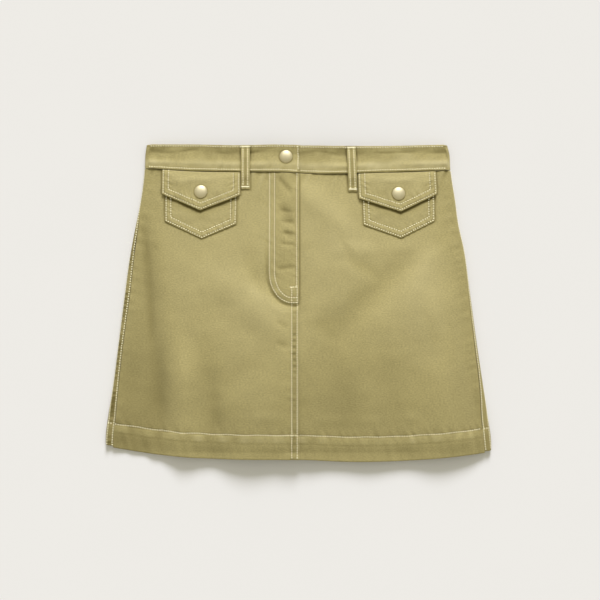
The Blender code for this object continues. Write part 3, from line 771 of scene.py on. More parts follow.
def thread_mesh(name, rows, settings):
    """Rows of stitches. Each stitch is a short thread that rises out of the cloth and goes back
    in. A row is a path on the cloth, its normals, and the seed of its unevenness."""
    pitch, length, radius = (v / MM for v in (settings.pitch, settings.length, settings.radius))
    sides, stations = 6, np.linspace(0, 1, 5)
    thick = radius * np.array([0.62, 1.0, 1.04, 1.0, 0.62])
    lift = radius * (1.15 * np.sin(math.pi * stations) ** 0.6 - 0.75)
    turns = 2 * math.pi * np.arange(sides) / sides
    across, upwards = np.cos(turns)[:, None], 0.82 * np.sin(turns)[:, None]
    around, along = np.meshgrid(turns, stations * length)
    label = stacked(along, around, 0.0).reshape(-1, 3)
    label = np.concatenate([label, [[0, 0, 0], [length, 0, 0]]])
    tube, ends = stitch_faces(sides, len(stations))
    points, faces, twist, total = [], [], [], 0
    for path, normals, seed in rows:
        rng = np.random.default_rng(seed)
        run = run_of(path)
        count = int((run[-1] - length) / pitch) + 1
        if count < 1:
            continue
        begin = np.arange(count) * pitch + rng.normal(0, 0.07, count)
        at = begin[:, None] + stations * (length * rng.uniform(0.93, 1.05, count))[:, None]
        spot = interpolated(at, run, path)
        normal = unit(interpolated(at, run, normals))
        ahead = unit(np.gradient(spot, axis=1))
        side = unit(np.cross(normal, ahead))
        sway = rng.normal(0, 0.1, (count, 1)) + rng.normal(0, 0.12, (count, 1)) * (stations - 0.5)
        spot = spot + normal * lift[None, :, None] + side * sway[..., None]
        ring = side[:, :, None] * across + normal[:, :, None] * upwards
        rings = spot[:, :, None] + ring * thick[None, :, None, None]
        tips = spot[:, [0, -1]] + ahead[:, [0, -1]] * np.array([-0.2, 0.2])[None, :, None]
        points.append(np.concatenate([rings.reshape(count, -1, 3), tips], 1).reshape(-1, 3))
        twist.append(np.tile(label, (count, 1)))
        for start in range(total, total + count * len(label), len(label)):
            faces += (tube + start).tolist() + (ends + start).tolist()
        total += count * len(label)
    return mesh_object(name, np.concatenate(points), faces, {"twist": np.concatenate(twist)})


def add(tree, kind, inputs=None, **settings):
    """A shader node with its settings, and its inputs set or linked to another node's output."""
    node = tree.nodes.new(kind)
    for key, value in settings.items():
        setattr(node, key, value)
    for key, value in (inputs or {}).items():
        if isinstance(value, bpy.types.NodeSocket):
            tree.links.new(value, node.inputs[key])
        else:
            node.inputs[key].default_value = value
    return node


def new_material(name, colour):
    """A material, its node tree and its shader."""
    material = bpy.data.materials.new(name)
    material.use_nodes = True
    material.diffuse_color = (*colour, 1)
    tree = material.node_tree
    return material, tree, tree.nodes["Principled BSDF"]


def washed_twill(settings):
    """Cotton twill, piece-dyed and garment-washed: matt, with fine diagonal ribs, uneven yarns,
    rubbed paler edges, and painted light and shade that makes ridges paler and seams and creases
    darker."""
    material, tree, shader = new_material("garment-washed cotton twill", settings.colour)
    cut = add(tree, "ShaderNodeAttribute", attribute_name="cut").outputs["Vector"]
    painted_shading_and_wear = add(tree, "ShaderNodeAttribute", attribute_name="painted_shading_and_wear").outputs["Fac"]

    # Twill ribs lie about 0.6 mm apart. They are drawn wider, so that they can be seen.
    rib = settings.rib / MM
    tilt = add(tree, "ShaderNodeMapping", {"Vector": cut, "Rotation": (0, 0, math.radians(63))})
    ribs = add(tree, "ShaderNodeTexWave", {
        "Vector": tilt.outputs["Vector"], "Scale": 2 * math.pi / (20 * rib), "Distortion": 2.6,
        "Detail": 2.0, "Detail Scale": 1.6, "Detail Roughness": 0.6}, wave_type="BANDS",
        bands_direction="X")
    # Yarns 0.3 mm thick show as slubs about 2 mm long.
    slub_size = add(tree, "ShaderNodeMapping", {"Vector": cut, "Scale": (1 / 2.3, 1 / 1.25, 1)})
    slubs = add(tree, "ShaderNodeTexNoise", {
        "Vector": slub_size.outputs["Vector"], "Scale": 1.0, "Detail": 3.0, "Roughness": 0.62})
    # The wash leaves clouds 25 to 90 mm across.
    cloud = add(tree, "ShaderNodeTexNoise", {
        "Vector": cut, "Scale": 1 / 42.0, "Detail": 5.0, "Roughness": 0.66})

    # Slubs, ribs and clouds each make the dye a little lighter and darker.
    grain = add(tree, "ShaderNodeMath", {0: slubs.outputs["Fac"], 1: 0.5}, operation="SUBTRACT")
    grain = add(tree, "ShaderNodeMath", {0: grain.outputs[0], 1: settings.grain},
                operation="MULTIPLY")
    rib_tone = add(tree, "ShaderNodeMath", {0: ribs.outputs["Fac"], 1: 0.5}, operation="SUBTRACT")
    tone = add(tree, "ShaderNodeMath", {0: rib_tone.outputs[0], 1: 0.06, 2: grain.outputs[0]},
               operation="MULTIPLY_ADD")
    clouds = add(tree, "ShaderNodeMath", {0: cloud.outputs["Fac"], 1: 0.5}, operation="SUBTRACT")
    tone = add(tree, "ShaderNodeMath", {0: clouds.outputs[0], 1: 0.32, 2: tone.outputs[0]},
               operation="MULTIPLY_ADD")
    tone = add(tree, "ShaderNodeMath", {0: tone.outputs[0], 1: 1.0}, operation="ADD")

    dyed = add(tree, "ShaderNodeVectorMath", {0: (*settings.colour,), 3: tone.outputs[0]},
               operation="SCALE")
    # Above 0 the colour goes paler, for rubbed edges and painted highlight; below 0 darker, for
    # painted shade.
    lighten_share = add(tree, "ShaderNodeMath", {0: painted_shading_and_wear, 1: settings.fade}, operation="MULTIPLY",
                use_clamp=True)
    paler = add(tree, "ShaderNodeMix", {"Factor": lighten_share.outputs[0], 6: dyed.outputs["Vector"],
                                        7: (*settings.pale_for_rubbing_and_highlight, 1)}, data_type="RGBA")
    darken_share = add(tree, "ShaderNodeMath", {0: painted_shading_and_wear, 1: -settings.fade}, operation="MULTIPLY",
               use_clamp=True)
    darker = add(tree, "ShaderNodeMix", {"Factor": darken_share.outputs[0], 6: paler.outputs[2],
                                         7: (*settings.deep, 1)}, data_type="RGBA")
    tree.links.new(darker.outputs[2], shader.inputs["Base Color"])

    weave = add(tree, "ShaderNodeMath", {0: ribs.outputs["Fac"], 1: 0.6, 2: slubs.outputs["Fac"]},
                operation="MULTIPLY_ADD")
    bump = add(tree, "ShaderNodeBump", {"Strength": 0.7, "Distance": 0.14 * MM,
                                        "Height": weave.outputs[0]})
    tree.links.new(bump.outputs["Normal"], shader.inputs["Normal"])
    rough = add(tree, "ShaderNodeMapRange", {"Value": slubs.outputs["Fac"], "To Min": 0.8,
                                             "To Max": 0.98})
    tree.links.new(rough.outputs[0], shader.inputs["Roughness"])
    shader.inputs["IOR"].default_value = 1.46
    shader.inputs["Specular IOR Level"].default_value = 0.25
    shader.inputs["Sheen Weight"].default_value = 0.12
    shader.inputs["Sheen Roughness"].default_value = 0.6
    return material


def core_spun_thread(settings):
    """Cream cotton-wrapped polyester thread, three-ply and twisted: soft, with a slight lustre."""
    material, tree, shader = new_material("core-spun sewing thread", settings.colour)
    twist = add(tree, "ShaderNodeAttribute", attribute_name="twist").outputs["Vector"]
    parts = add(tree, "ShaderNodeSeparateXYZ", {"Vector": twist})
    # Three plies turn once in about 1.4 mm, and stray fibres blur the tone every few millimetres.
    turn = add(tree, "ShaderNodeMath", {0: parts.outputs["X"], 1: 2 * math.pi / 1.4,
                                        2: parts.outputs["Y"]}, operation="MULTIPLY_ADD")
    plies = add(tree, "ShaderNodeMath", {0: turn.outputs[0]}, operation="SINE")
    place = add(tree, "ShaderNodeNewGeometry").outputs["Position"]
    fuzz = add(tree, "ShaderNodeTexNoise", {"Vector": place, "Scale": 1 / (4 * MM), "Detail": 2.0})
    # The tone rises and falls with the plies' turn: painted shade in the grooves between them.
    shade = add(tree, "ShaderNodeMapRange", {"Value": plies.outputs[0], "From Min": -1.0,
                                             "To Min": 0.86, "To Max": 1.04})
    mottle = add(tree, "ShaderNodeMath", {0: fuzz.outputs["Fac"], 1: 0.2, 2: shade.outputs[0]},
                 operation="MULTIPLY_ADD")
    tint = add(tree, "ShaderNodeVectorMath", {0: (*settings.colour,), 3: mottle.outputs[0]},
               operation="SCALE")
    tree.links.new(tint.outputs["Vector"], shader.inputs["Base Color"])
    bump = add(tree, "ShaderNodeBump", {"Strength": 0.5, "Distance": 0.06 * MM,
                                        "Height": plies.outputs[0]})
    tree.links.new(bump.outputs["Normal"], shader.inputs["Normal"])
    shader.inputs["Roughness"].default_value = 0.62
    shader.inputs["Sheen Weight"].default_value = 0.2
    return material


def satin_brass(settings):
    """Pressed brass with a pale satin plating: broad soft highlights and faint turning marks."""
    material, tree, shader = new_material("satin-plated pressed brass", settings.colour)
    place = add(tree, "ShaderNodeNewGeometry").outputs["Position"]
    # Turning marks are drawn about 1.5 mm apart, and handling dulls patches 6 mm across.
    fine = add(tree, "ShaderNodeTexNoise", {
        "Vector": place, "Scale": 1 / (1.5 * MM), "Detail": 3.0})
    dulled = add(tree, "ShaderNodeTexNoise", {
        "Vector": place, "Scale": 1 / (6 * MM), "Detail": 2.0})
    tone = add(tree, "ShaderNodeMapRange", {"Value": dulled.outputs["Fac"], "To Min": 0.9,
                                            "To Max": 1.08})
    tint = add(tree, "ShaderNodeVectorMath", {0: (*settings.colour,), 3: tone.outputs[0]},
               operation="SCALE")
    tree.links.new(tint.outputs["Vector"], shader.inputs["Base Color"])
    rough = add(tree, "ShaderNodeMapRange", {
        "Value": fine.outputs["Fac"], "To Min": settings.roughness - 0.07,
        "To Max": settings.roughness + 0.09})
    tree.links.new(rough.outputs[0], shader.inputs["Roughness"])
    bump = add(tree, "ShaderNodeBump", {"Strength": 0.25, "Distance": 0.03 * MM,
                                        "Height": fine.outputs["Fac"]})
    tree.links.new(bump.outputs["Normal"], shader.inputs["Normal"])
    shader.inputs["Metallic"].default_value = 1.0
    return material


def material_named(name, maker, settings):
    """The material of that name, made by its maker the first time."""
    return bpy.data.materials.get(name) or maker(settings)


def cap_metal(scene):
    """The caps' and studs' metal."""
    return material_named("satin-plated pressed brass", satin_brass, scene.skirt_snap)


def sew(piece, rows, scene):
    """The piece's topstitching, as one object of its own."""
    stitching = thread_mesh(f"{piece.name}_topstitch", rows, scene.skirt_thread)
    thread = material_named("core-spun sewing thread", core_spun_thread, scene.skirt_thread)
    return finish_piece(stitching, thread, "topstitch_thread")


def panel_shares():
    """Levels from waist seam to hem, closest at the seam, at the fly's foot and in the hem."""
    places = joined(
        spaced(SEAM + PLY / 2, 8, 1.0), spaced(8, 130, 1.7), spaced(130, 166, 1.3),
        spaced(166, HEM_NEAR, 1.8), spaced(HEM_NEAR, LENGTH - HEM_PLY / 2, 0.95))
    return places / LENGTH


def panel_grid(shares, places, over, under):
    """The outer face of a panel, and each point's place in the flat cloth."""
    grid, cut = [], []
    for share in shares:
        ring = Ring(share, BODY, over, under)
        t = places(ring)
        grid.append(ring.points(t))
        cut.append(stacked(t - ring.on_front(0.0), -share * LENGTH, 0.0))
    return np.array(grid), np.array(cut)


def panel_plies(shares):
    """One ply, and two where the hem is turned up inside."""
    above = (1 - shares) * LENGTH
    return lerp(HEM_PLY, PLY, smoothstep(above, HEM_DEPTH - 0.9, HEM_DEPTH + 0.9))


def make_front(side, scene):
    """A front, with its lap at the centre and its side seam near the side fold."""
    k = 0 if side < 0 else 1

    def places(ring):
        """Closest at the side seam and at the fly and lap, with one number on every ring."""
        seam = ring.seam(k) - side * SIDE_IN
        beside = seam - side * 15
        if side < 0:
            fly, end = ring.on_front(-46), ring.on_front(LAP_END - PLY / 2)
            return joined(spaced(seam, beside, 1.0), np.linspace(beside, fly, 68),
                          spaced(fly, end, 0.9))
        start, lap = ring.on_front(LAP_UNDER + PLY / 2), ring.on_front(18)
        return joined(spaced(start, lap, 1.0), np.linspace(lap, beside, 88),
                      spaced(beside, seam, 1.0))

    shares = panel_shares()
    grid, cut = panel_grid(shares, places, front_face(side), lambda x, y, t: x * 0)
    x, y = grid[..., 0], grid[..., 1]
    # Painted light and shade: raised cloth paler, partly as rubbing, the painted falloff and fold
    # shading, and painted shade beside other pieces and in the needle's holes.
    painted_shading_and_wear = 1.6 * front_relief(side, x, y)[1] + painted_light_falloff(shares[:, None], x) + painted_fold_shading(x, y)
    painted_shading_and_wear = painted_shading_and_wear - 2.0 * painted_contact_shadow(x, y) - 0.7 * painted_stitch_shade(side, x, y)
    name = "front_left" if side < 0 else "front_right"
    return cloth_piece(name, grid, cut, painted_shading_and_wear, panel_plies(shares), scene)


def hem_line(from_x, to_x, above=HEM_ROW):
    """The hem's row of stitching, which wanders a little from its line."""
    ring = Ring(1 - above / LENGTH)
    x = spaced(max(from_x, ring.left + 1.2), min(to_x, ring.right - 1.2), 0.5)
    return np.stack([x, ring.y_of(x) + 0.35 * waves(x, 51, 26, 80)], -1)


def fly_line(inwards):
    """A stitched J, from the waist seam down, round and out to the front's edge."""
    wide, deep = FLY_WIDE - inwards, FLY_DEEP - inwards
    x, y = FLY_CENTRE
    turn = np.linspace(0, math.pi / 2, 60)
    bend = np.stack([x - wide * np.cos(turn), y - deep * np.sin(turn)], -1)
    return even_path([(x - wide, FLY_TOP), *bend, (LAP_END - 1.0, y - deep)])


def front_rows(side, piece):
    """The hem's row, and on the left front the fly's rows and the centre seam's two."""
    tree = tree_of(piece)
    if side > 0:
        return [stitched(tree, hem_line(1.5, OUTSIDE), UP, 52)]
    twin = [even_path([(x, FLY_FOOT), (x, TWIN_END)]) for x in TWIN_ROWS]
    paths = [hem_line(-OUTSIDE, LAP_END - 1.4), *(fly_line(inwards) for inwards in FLY_ROWS), *twin,
             even_path([(FLY_EDGE_ROW, FLY_TOP - 0.2), (FLY_EDGE_ROW, FLY_FOOT)]),
             even_path([(x, FLY_FOOT - 0.3) for x in FLY_FOOT_ROW])]
    return [stitched(tree, path, UP, 60 + k) for k, path in enumerate(paths)]


def make_back(scene):
    """The back, which wraps round both side folds to the side seams on the front's face."""
    def places(ring):
        """The same number of places on every ring, so that the rows can join."""
        left = ring.seam(0) - SIDE_IN
        right = ring.half - ring.seam(1) - SIDE_IN
        stops = (-ring.half - right, -ring.half, ring.quarter - ring.half, -ring.quarter, 0, left)
        return joined(*(np.linspace(start, end, count) for start, end, count
                        in zip(stops, stops[1:], (12, 8, 170, 8, 12))))

    shares = joined(spaced(SEAM + PLY / 2, 30, 1.8), spaced(30, HEM_NEAR, 1.8),
                    spaced(HEM_NEAR, LENGTH - BACK_SHORT - HEM_PLY / 2, 1.2)) / LENGTH
    grid, cut = panel_grid(shares, places, front_face(1), back_face)
    x, y, along = grid[..., 0], grid[..., 1], cut[..., 0]
    above = (1 - shares)[:, None] * LENGTH - BACK_SHORT
    # Painted light and shade from the hem's relief, partly as rubbing, and the painted light
    # falloff.
    painted_shading_and_wear = hem_relief(x, above, 23) + painted_light_falloff(shares[:, None], x)
    # The two strips of the back that show beside the side seams: painted a little darker, with
    # painted shade in the puckers between their rows.
    strips = grid[..., 2] > FOLD_R + 1.2
    off = np.abs(along - np.where(along < 0, along[:, -1:], along[:, :1])) - 4.0
    painted_shading_and_wear = painted_shading_and_wear - strips * (0.2 + 1.7 * painted_pucker_shade(y, off, 2.8, 25))
    return cloth_piece("back_panel", grid, cut, painted_shading_and_wear, panel_plies(shares), scene)


def back_rows(piece):
    """Two rows beside each side seam, and the hem's row."""
    tree, rows = tree_of(piece), []
    for k in (0, 1):
        for n, off in enumerate(SIDE_ROWS):
            path = []
            for share in np.linspace(0.004, 0.994, 240):
                ring = Ring(share, BODY, front_face(1), back_face)
                t = ring.seam(k) + (off if k else -off)
                path.append(ring.points([t])[0])
            rows.append(stitched(tree, even_path(path), UP, 70 + 2 * k + n))
    rows.append(stitched(tree, hem_line(-OUTSIDE, OUTSIDE, HEM_ROW + BACK_SHORT), DOWN, 75))
    ring = Ring(1 - HEM_ROW / LENGTH)
    strips = ((-OUTSIDE, ring.left + STRIP_IN), (ring.right - STRIP_IN, OUTSIDE))
    return rows + [stitched(tree, hem_line(*ends), UP, 76 + k) for k, ends in enumerate(strips)]


def band_relief(s, d):
    """The waistband's relief at the distance d below its top edge, uneven along it."""
    form = read(BAND_FORM, d, "height") * (0.85 + 0.35 * waves(s, 81, 45, 130))
    wander = d - 8.6 - 1.3 * waves(s, 86, 40, 110)
    form = form - 0.5 * groove(wander, 1.7) * np.clip(0.6 + 0.6 * waves(s, 87, 30, 90), 0, 2)
    rows = stitched_in(s, d, BAND_ROWS, 82, 0.28, 0.2, 6, 13, 6.0, 0.5)
    return form + 0.16 * crumple(s, d, 84, 9, 30) + rows


def band_down(x, y):
    """How far below the waistband's top edge a point lies."""
    top, seam = edge(x, "top"), edge(x, "seam")
    return np.clip((top - y) / (top - seam), 0, 1) * BAND_DEPTH


def band_face(x, y, t):
    """The waistband over the fronts. Its left end (t above 0) rises over the snap, and its right
    end, which the ring reaches from the back (t below 0), dips under it."""
    upper = t > 0
    rise = np.where(upper, OVER_LIFT * smoothstep(x, -60, -34),
                    -UNDER_DROP * (1 - smoothstep(x, 3, 22)))
    relief = band_relief(x + 500 * ~upper, band_down(x, y))
    return front(x, y) + BAND_PROUD + rise + relief + fold_sum(BAND_CREASES, x, y) * upper


def band_under(x, y, t):
    """The waistband under the back; like the back, it only presses inwards."""
    inside = np.minimum(x - section(y, "left"), section(y, "right") - x)
    hollow = np.clip(0.5 - band_relief(x + 900, band_down(x, y)), 0, 1.6)
    return back(x, y) + hollow * smoothstep(inside, 4, 20)


def make_waistband(scene):
    """One strip all round, from its end under the lap to its end over it."""
    edge_in = BAND_PLY / 2 / BAND_DEPTH
    rows = joined(np.linspace(edge_in, 0.2, 8), np.linspace(0.2, 0.8, 24),
                  np.linspace(0.8, 1 - edge_in - SEAM / BAND_DEPTH, 10))
    grid, cut = [], []
    for share in rows:
        ring = Ring(share, BAND, band_face, band_under, BAND_FOLD_R)
        q = ring.quarter
        stops = (ring.on_front(BAND_UNDER + BAND_PLY / 2) - 2 * ring.half, -ring.half - q,
                 q - ring.half, -q, q, ring.on_front(BAND_END - BAND_PLY / 2))
        t = joined(*(np.linspace(start, end, count) for start, end, count
                     in zip(stops, stops[1:], (118, 18, 170, 18, 150))))
        grid.append(ring.points(t))
        cut.append(stacked(t, -BAND_DEPTH * share, 0.0))
    grid, cut = np.array(grid), np.array(cut)
    x, y = grid[..., 0], grid[..., 1]
    down = rows[:, None] * BAND_DEPTH * np.ones(x.shape)
    # Painted light and shade: the band's relief, partly as rubbing, the painted falloff, a painted
    # highlight right of the right loop, and painted shade along the rows, beside the pieces and
    # round the cap.
    painted_shading_and_wear = 0.75 * band_relief(x, down) + painted_light_falloff(0.0) + 0.35 * smoothstep(x, 60, 100)
    painted_shading_and_wear = painted_shading_and_wear - 1.9 * groove(down - BAND_ROWS[0], 1.5) - 0.9 * groove(down - BAND_ROWS[1])
    painted_shading_and_wear = painted_shading_and_wear - 1.4 * painted_contact_shadow(x, y) - 1.9 * painted_cap_shadow(x, y) * (grid[..., 2] > 2 * FOLD_R)
    return cloth_piece("waistband", grid, cut, painted_shading_and_wear, BAND_PLY, scene)


def band_rows(piece):
    """A row along each edge, over the left end, the right one and the back, and one down the
    upper end."""
    tree, rows = tree_of(piece), []
    for n, down in enumerate(BAND_ROWS):
        ring = Ring(down / BAND_DEPTH, BAND)
        left, right = ring.left + 5, ring.right - 5
        runs = ((UP, left, BAND_END - 1.6), (UP, BAND_END + 1.2, right), (DOWN, left, right))
        for m, (aim, start, end) in enumerate(runs):
            x = spaced(start, end, 0.5)
            rows.append(stitched(tree, np.stack([x, ring.y_of(x)], -1), aim, 90 + 3 * n + m))
    y = spaced(*BAND_END_Y, 0.5)
    x = BAND_END - BAND_END_ROW + 0.15 * waves(y, 97, 8, 20)
    return [*rows, stitched(tree, np.stack([x, y], -1), UP, 96)]


def patch_outline(patch, inset):
    """A patch's outline without its upper edge, moved in: left side, point, right side."""
    corners = [patch.tl, patch.bl, patch.point, patch.br, patch.tr]
    corners = [(x, level_top(x) if y is None else y) for x, y in corners]
    lines = []
    for (x0, y0), (x1, y1) in zip(corners, corners[1:]):
        run = math.hypot(x1 - x0, y1 - y0)
        nx, ny = -(y1 - y0) / run, (x1 - x0) / run
        lines.append(((x0 + nx * inset, y0 + ny * inset), (x1 + nx * inset, y1 + ny * inset)))
    points = [lines[0][0]]
    for (a, b), (c, d) in zip(lines, lines[1:]):
        points.append(crossing(a, b, c, d))
    return [*points, lines[-1][1]]


def crossing(a, b, c, d):
    """Where the line ab meets the line cd."""
    ux, uy, vx, vy = b[0] - a[0], b[1] - a[1], d[0] - c[0], d[1] - c[1]
    share = ((c[0] - a[0]) * vy - (c[1] - a[1]) * vx) / (ux * vy - uy * vx)
    return a[0] + ux * share, a[1] + uy * share


def level_top(x):
    """The y of the waist seam at one x."""
    return float(Ring(0.0).y_of(np.array(float(x))))


def patch_grid(patch, step, height, drop, margin):
    """Points of a pointed patch. height gives a place's height over the front's form and its
    stitched edge's relief. Edges stop margin short, to be rounded."""
    follows_seam = patch.tl[1] is None
    wide, deep = patch.tr[0] - patch.tl[0], FLAP_DEEP if follows_seam else POCKET_DEEP
    across = np.linspace(margin / wide, 1 - margin / wide, 2 * round(wide / step / 2) + 1)
    down = np.linspace(margin / deep, 1 - margin / deep, round(deep / step))
    down, across = np.meshgrid(down, across, indexing="ij")
    top_x = lerp(patch.tl[0], patch.tr[0], across)
    top_y = Ring(0.0).y_of(top_x) - drop if follows_seam else lerp(patch.tl[1], patch.tr[1], across)
    left = across < 0.5
    part = np.where(left, across * 2, across * 2 - 1)
    low_x, low_y = (np.where(left, lerp(patch.bl[k], patch.point[k], part),
                             lerp(patch.point[k], patch.br[k], part)) for k in (0, 1))
    x, y = lerp(top_x, low_x, down), lerp(top_y, low_y, down)
    slant, blend = 0.92, 1.6  # the cosine of the point's slant, and how softly its corners turn
    from_side = np.minimum(across, 1 - across) * wide
    from_low = (1 - down) * (top_y - low_y) * slant
    inset = -np.log(np.exp(-from_side / blend) + np.exp(-from_low / blend)) * blend
    place = Place(x, y, down, across, inset, np.where(from_side < from_low, y, x))
    relief, fine = height(place)
    return stacked(x, y, front(x, y) + relief + fine), stacked(x, y, 0.0), fine, inset


def edge_rows(place, rows, seed):
    """A turned and topstitched edge: full between its two rows, and gathered along them."""
    inset, (outer, inner) = place.inset, rows
    body = smoothstep(inset, outer, outer + 1.4) - smoothstep(inset, inner - 1.6, inner + 0.4)
    return 0.5 * body + stitched_in(place.along, inset, rows, seed, 0.3, 0.14, 5, 10, 4.0)


def between_rows(inset, rows):
    """1 between the two rows of a topstitched edge, where the cloth is drawn darker."""
    outer, inner = rows
    return smoothstep(inset, outer, outer + 1.2) - smoothstep(inset, inner - 1.0, inner + 0.6)


def flap_foot(pocket, x):
    """The y of the lower edge of the flap over a pocket."""
    flap = FLAPS[POCKETS.index(pocket)]
    corners = (flap.bl, flap.point, flap.br)
    return np.interp(x, [c[0] for c in corners], [c[1] for c in corners])


def make_pocket(patch, scene):
    """A patch pocket, sewn down at its sides and point and a little full in its middle."""
    def height(place):
        full = 0.9 * smoothstep(place.inset, 5, 24) * smoothstep(place.down, 0.2, 0.6)
        soft = 0.2 * crumple(place.x, place.y, 101, 12, 34) * smoothstep(place.inset, 4, 14)
        return GAP + PLY + full + soft, edge_rows(place, POCKET_ROWS, 103)

    grid, cut, fine, inset = patch_grid(patch, 1.1, height, 0.0, PLY / 2)
    over_foot = grid[..., 1] - flap_foot(patch, grid[..., 0])
    # Painted shadow: a dark line under and just below the flap's edge, softer painted shade further
    # down, and painted light and shade from the relief, the falloff and the rows.
    painted_shading_and_wear = 1.8 * fine + painted_light_falloff(0.0) - 0.9 * between_rows(inset, POCKET_ROWS)
    painted_shading_and_wear = painted_shading_and_wear - 3.4 * smoothstep(over_foot, -4.8, -2.0) - 0.7 * smoothstep(over_foot, -14, 0)
    painted_shading_and_wear = painted_shading_and_wear - 0.8 * grooves(inset, POCKET_ROWS)
    return cloth_piece(patch.name, grid, cut, painted_shading_and_wear, PLY, scene)


def make_flap(patch, scene):
    """A flap leaves the waist seam flat, passes over the pocket's mouth and rests on the snap."""
    snap_x, snap_y = SNAPS["left" if patch.tl[0] < 0 else "right"]

    def height(place):
        x, y, down = place.x, place.y, place.down
        from_snap = np.hypot(x - snap_x, y - snap_y)
        free = smoothstep(from_snap, 9, 20)
        over_pocket = (PLY + GAP) * smoothstep(down, 0.0, 0.2)
        middle = np.sin(math.pi * place.across) ** 2
        on_snap = (STUD_H + PASSING) * smoothstep(down, 0.1, 0.45) * lerp(0.35, 1, middle)
        dimple = -0.25 * (1 - smoothstep(from_snap, 8, 17))
        soft = 0.28 * crumple(x, y, 111, 14, 40) * smoothstep(down, 0.05, 0.3) * free
        lift = 0.3 * smoothstep(down, 0.5, 1.0) * free * (0.7 + 0.3 * waves(x, 112, 20, 50))
        tuck = -0.5 * np.exp(-down * 30)
        relief = LAID + FLAP_PLY + over_pocket + on_snap + dimple + soft + lift + tuck
        return relief, edge_rows(place, FLAP_ROWS, 113)

    grid, cut, fine, inset = patch_grid(patch, 0.9, height, SEAM + 0.2, FLAP_PLY / 2)
    x, y = grid[..., 0], grid[..., 1]
    creases = fold_sum(FLAP_CREASES, x, y)
    grid[..., 2] += creases
    # Painted light and shade from the relief, partly as rubbing, the creases and the falloff;
    # darker between the rows; painted shade round the cap and in the rows.
    painted_shading_and_wear = 1.8 * fine + 0.3 * creases + painted_light_falloff(0.0) - 1.2 * between_rows(inset, FLAP_ROWS)
    painted_shading_and_wear = painted_shading_and_wear - 1.9 * painted_cap_shadow(x, y) - 0.8 * grooves(inset, FLAP_ROWS)
    return cloth_piece(patch.name, grid, cut, painted_shading_and_wear, FLAP_PLY, scene)


def patch_rows(patch, piece, insets, seed):
    """Rows that follow a patch's outline, one for each inset."""
    tree = tree_of(piece)
    return [stitched(tree, even_path(patch_outline(patch, inset)), UP, seed + k)
            for k, inset in enumerate(insets)]


def strip_places(run, count):
    """Places along a strip and across it, short of its edges, which are rounded."""
    margin = LOOP_PLY / 2
    along = np.linspace(margin, run - margin, count)
    across = np.linspace(margin - LOOP_HALF, LOOP_HALF - margin, 17)
    return np.meshgrid(along, across, indexing="ij")


def strip_relief(across, along, seed):
    """A folded strip with a row of stitching along each side."""
    rows = -0.26 * grooves(across, (-LOOP_ROW, LOOP_ROW)) - 0.35 * groove(across, 1.5)
    gather = 0.13 * pucker(along, np.abs(across) - LOOP_ROW, seed, 4, 9, 3.0)
    return rows + gather - 0.35 * smoothstep(np.abs(across), 3.8, 5.2) ** 2


def make_loop(loop, scene):
    """A strip sewn down at the waistband's top and below the waist seam, and free between."""
    (x0, y0), (x1, y1) = loop.top, loop.bottom
    down, across = strip_places(y0 - y1, 74)
    r, y = down / (y0 - y1), y0 - down
    x = lerp(x0, x1, r) + across
    seam = edge(x, "seam")
    on_band = BAND_PROUD * smoothstep(y, seam - 14, seam - 4)
    bow = LOOP_BOW * smoothstep(r, 0.05, 0.3) * (1 - smoothstep(r, 0.62, 0.94))
    tack = -0.3 * groove(y - (y1 + 1.5), 2.2)
    fine = strip_relief(across, y, 121)
    grid = stacked(x, y, front(x, y) + on_band + bow + LAID + LOOP_PLY + fine + tack)
    # Painted light and shade from the strip's relief and the falloff, with painted shade down its
    # hollow middle.
    painted_shading_and_wear = fine + painted_light_falloff(0.0) - 1.0 * groove(across, 1.6)
    return cloth_piece(loop.name, grid, stacked(x, y, 0.0), painted_shading_and_wear, LOOP_PLY, scene)


def strip_rows(tree, top, bottom, tacks, aim, seeds):
    """A row along each side of a strip from top to bottom, and a bar tack at each of tacks: short
    stitches side by side across it. seeds are the two rows' and each tack's first."""
    rows = []
    for seed, side in zip(seeds, (-1, 1)):
        ends = [(x + side * LOOP_ROW, y) for x, y in (top, bottom)]
        rows.append(stitched(tree, even_path(ends), aim, seed))
    for seed, (x, y) in zip(seeds[2:], tacks):
        for k, off in enumerate(np.arange(-4.2, 4.3, 0.7)):
            path = even_path([(x + off, y + 1.5), (x + off, y - 1.5)], 0.3)
            rows.append(stitched(tree, path, aim, seed + k))
    return rows


def loop_rows(loop, piece):
    (x0, y0), (x1, y1) = loop.top, loop.bottom
    return strip_rows(tree_of(piece), (x0, y0 - 1.2), (x1, y1 + 1.0),
                      ((x1, y1 + 2.2), (x0, y0 - 1.9)), UP, (130, 131, 140, 160))


def make_back_loop(name, middle, scene):
    """A strip on the back, flat under the garment's weight."""
    high, low = BACK_LOOP_Y
    along, across = strip_places(high - low, 60)
    x, y = middle + across, low + along
    fine = strip_relief(across, y, 171)
    grid = stacked(x, y, np.clip(0.1 - fine, 0, 1))
    # The strip's relief doubles as painted light and shade, partly as rubbing.
    return cloth_piece(name, grid, stacked(x, y, 0.0), fine, LOOP_PLY, scene)


def back_loop_rows(middle, piece):
    high, low = BACK_LOOP_Y
    return strip_rows(tree_of(piece), (middle, low + 1), (middle, high - 1),
                      ((middle, low + 2.2), (middle, high - 3.0)), DOWN, (179, 181, 190, 210))


def face_frame(height_of, x, y):
    """A point of a face given as a height, and its unit normal."""
    step = 4.0
    dx = (height_of(x + step, y) - height_of(x - step, y)) / (2 * step)
    dy = (height_of(x, y + step) - height_of(x, y - step)) / (2 * step)
    return Vector((x, y, height_of(x, y))), Vector((-dx, -dy, 1)).normalized()


def cap_height(which, x, y):
    """The height of the cloth below a snap's cap."""
    form = float(front(np.array(float(x)), np.array(float(y))))
    if which == "waist":
        return form + BAND_PROUD + OVER_LIFT
    return form + LAID + FLAP_PLY + PLY + GAP + STUD_H + PASSING


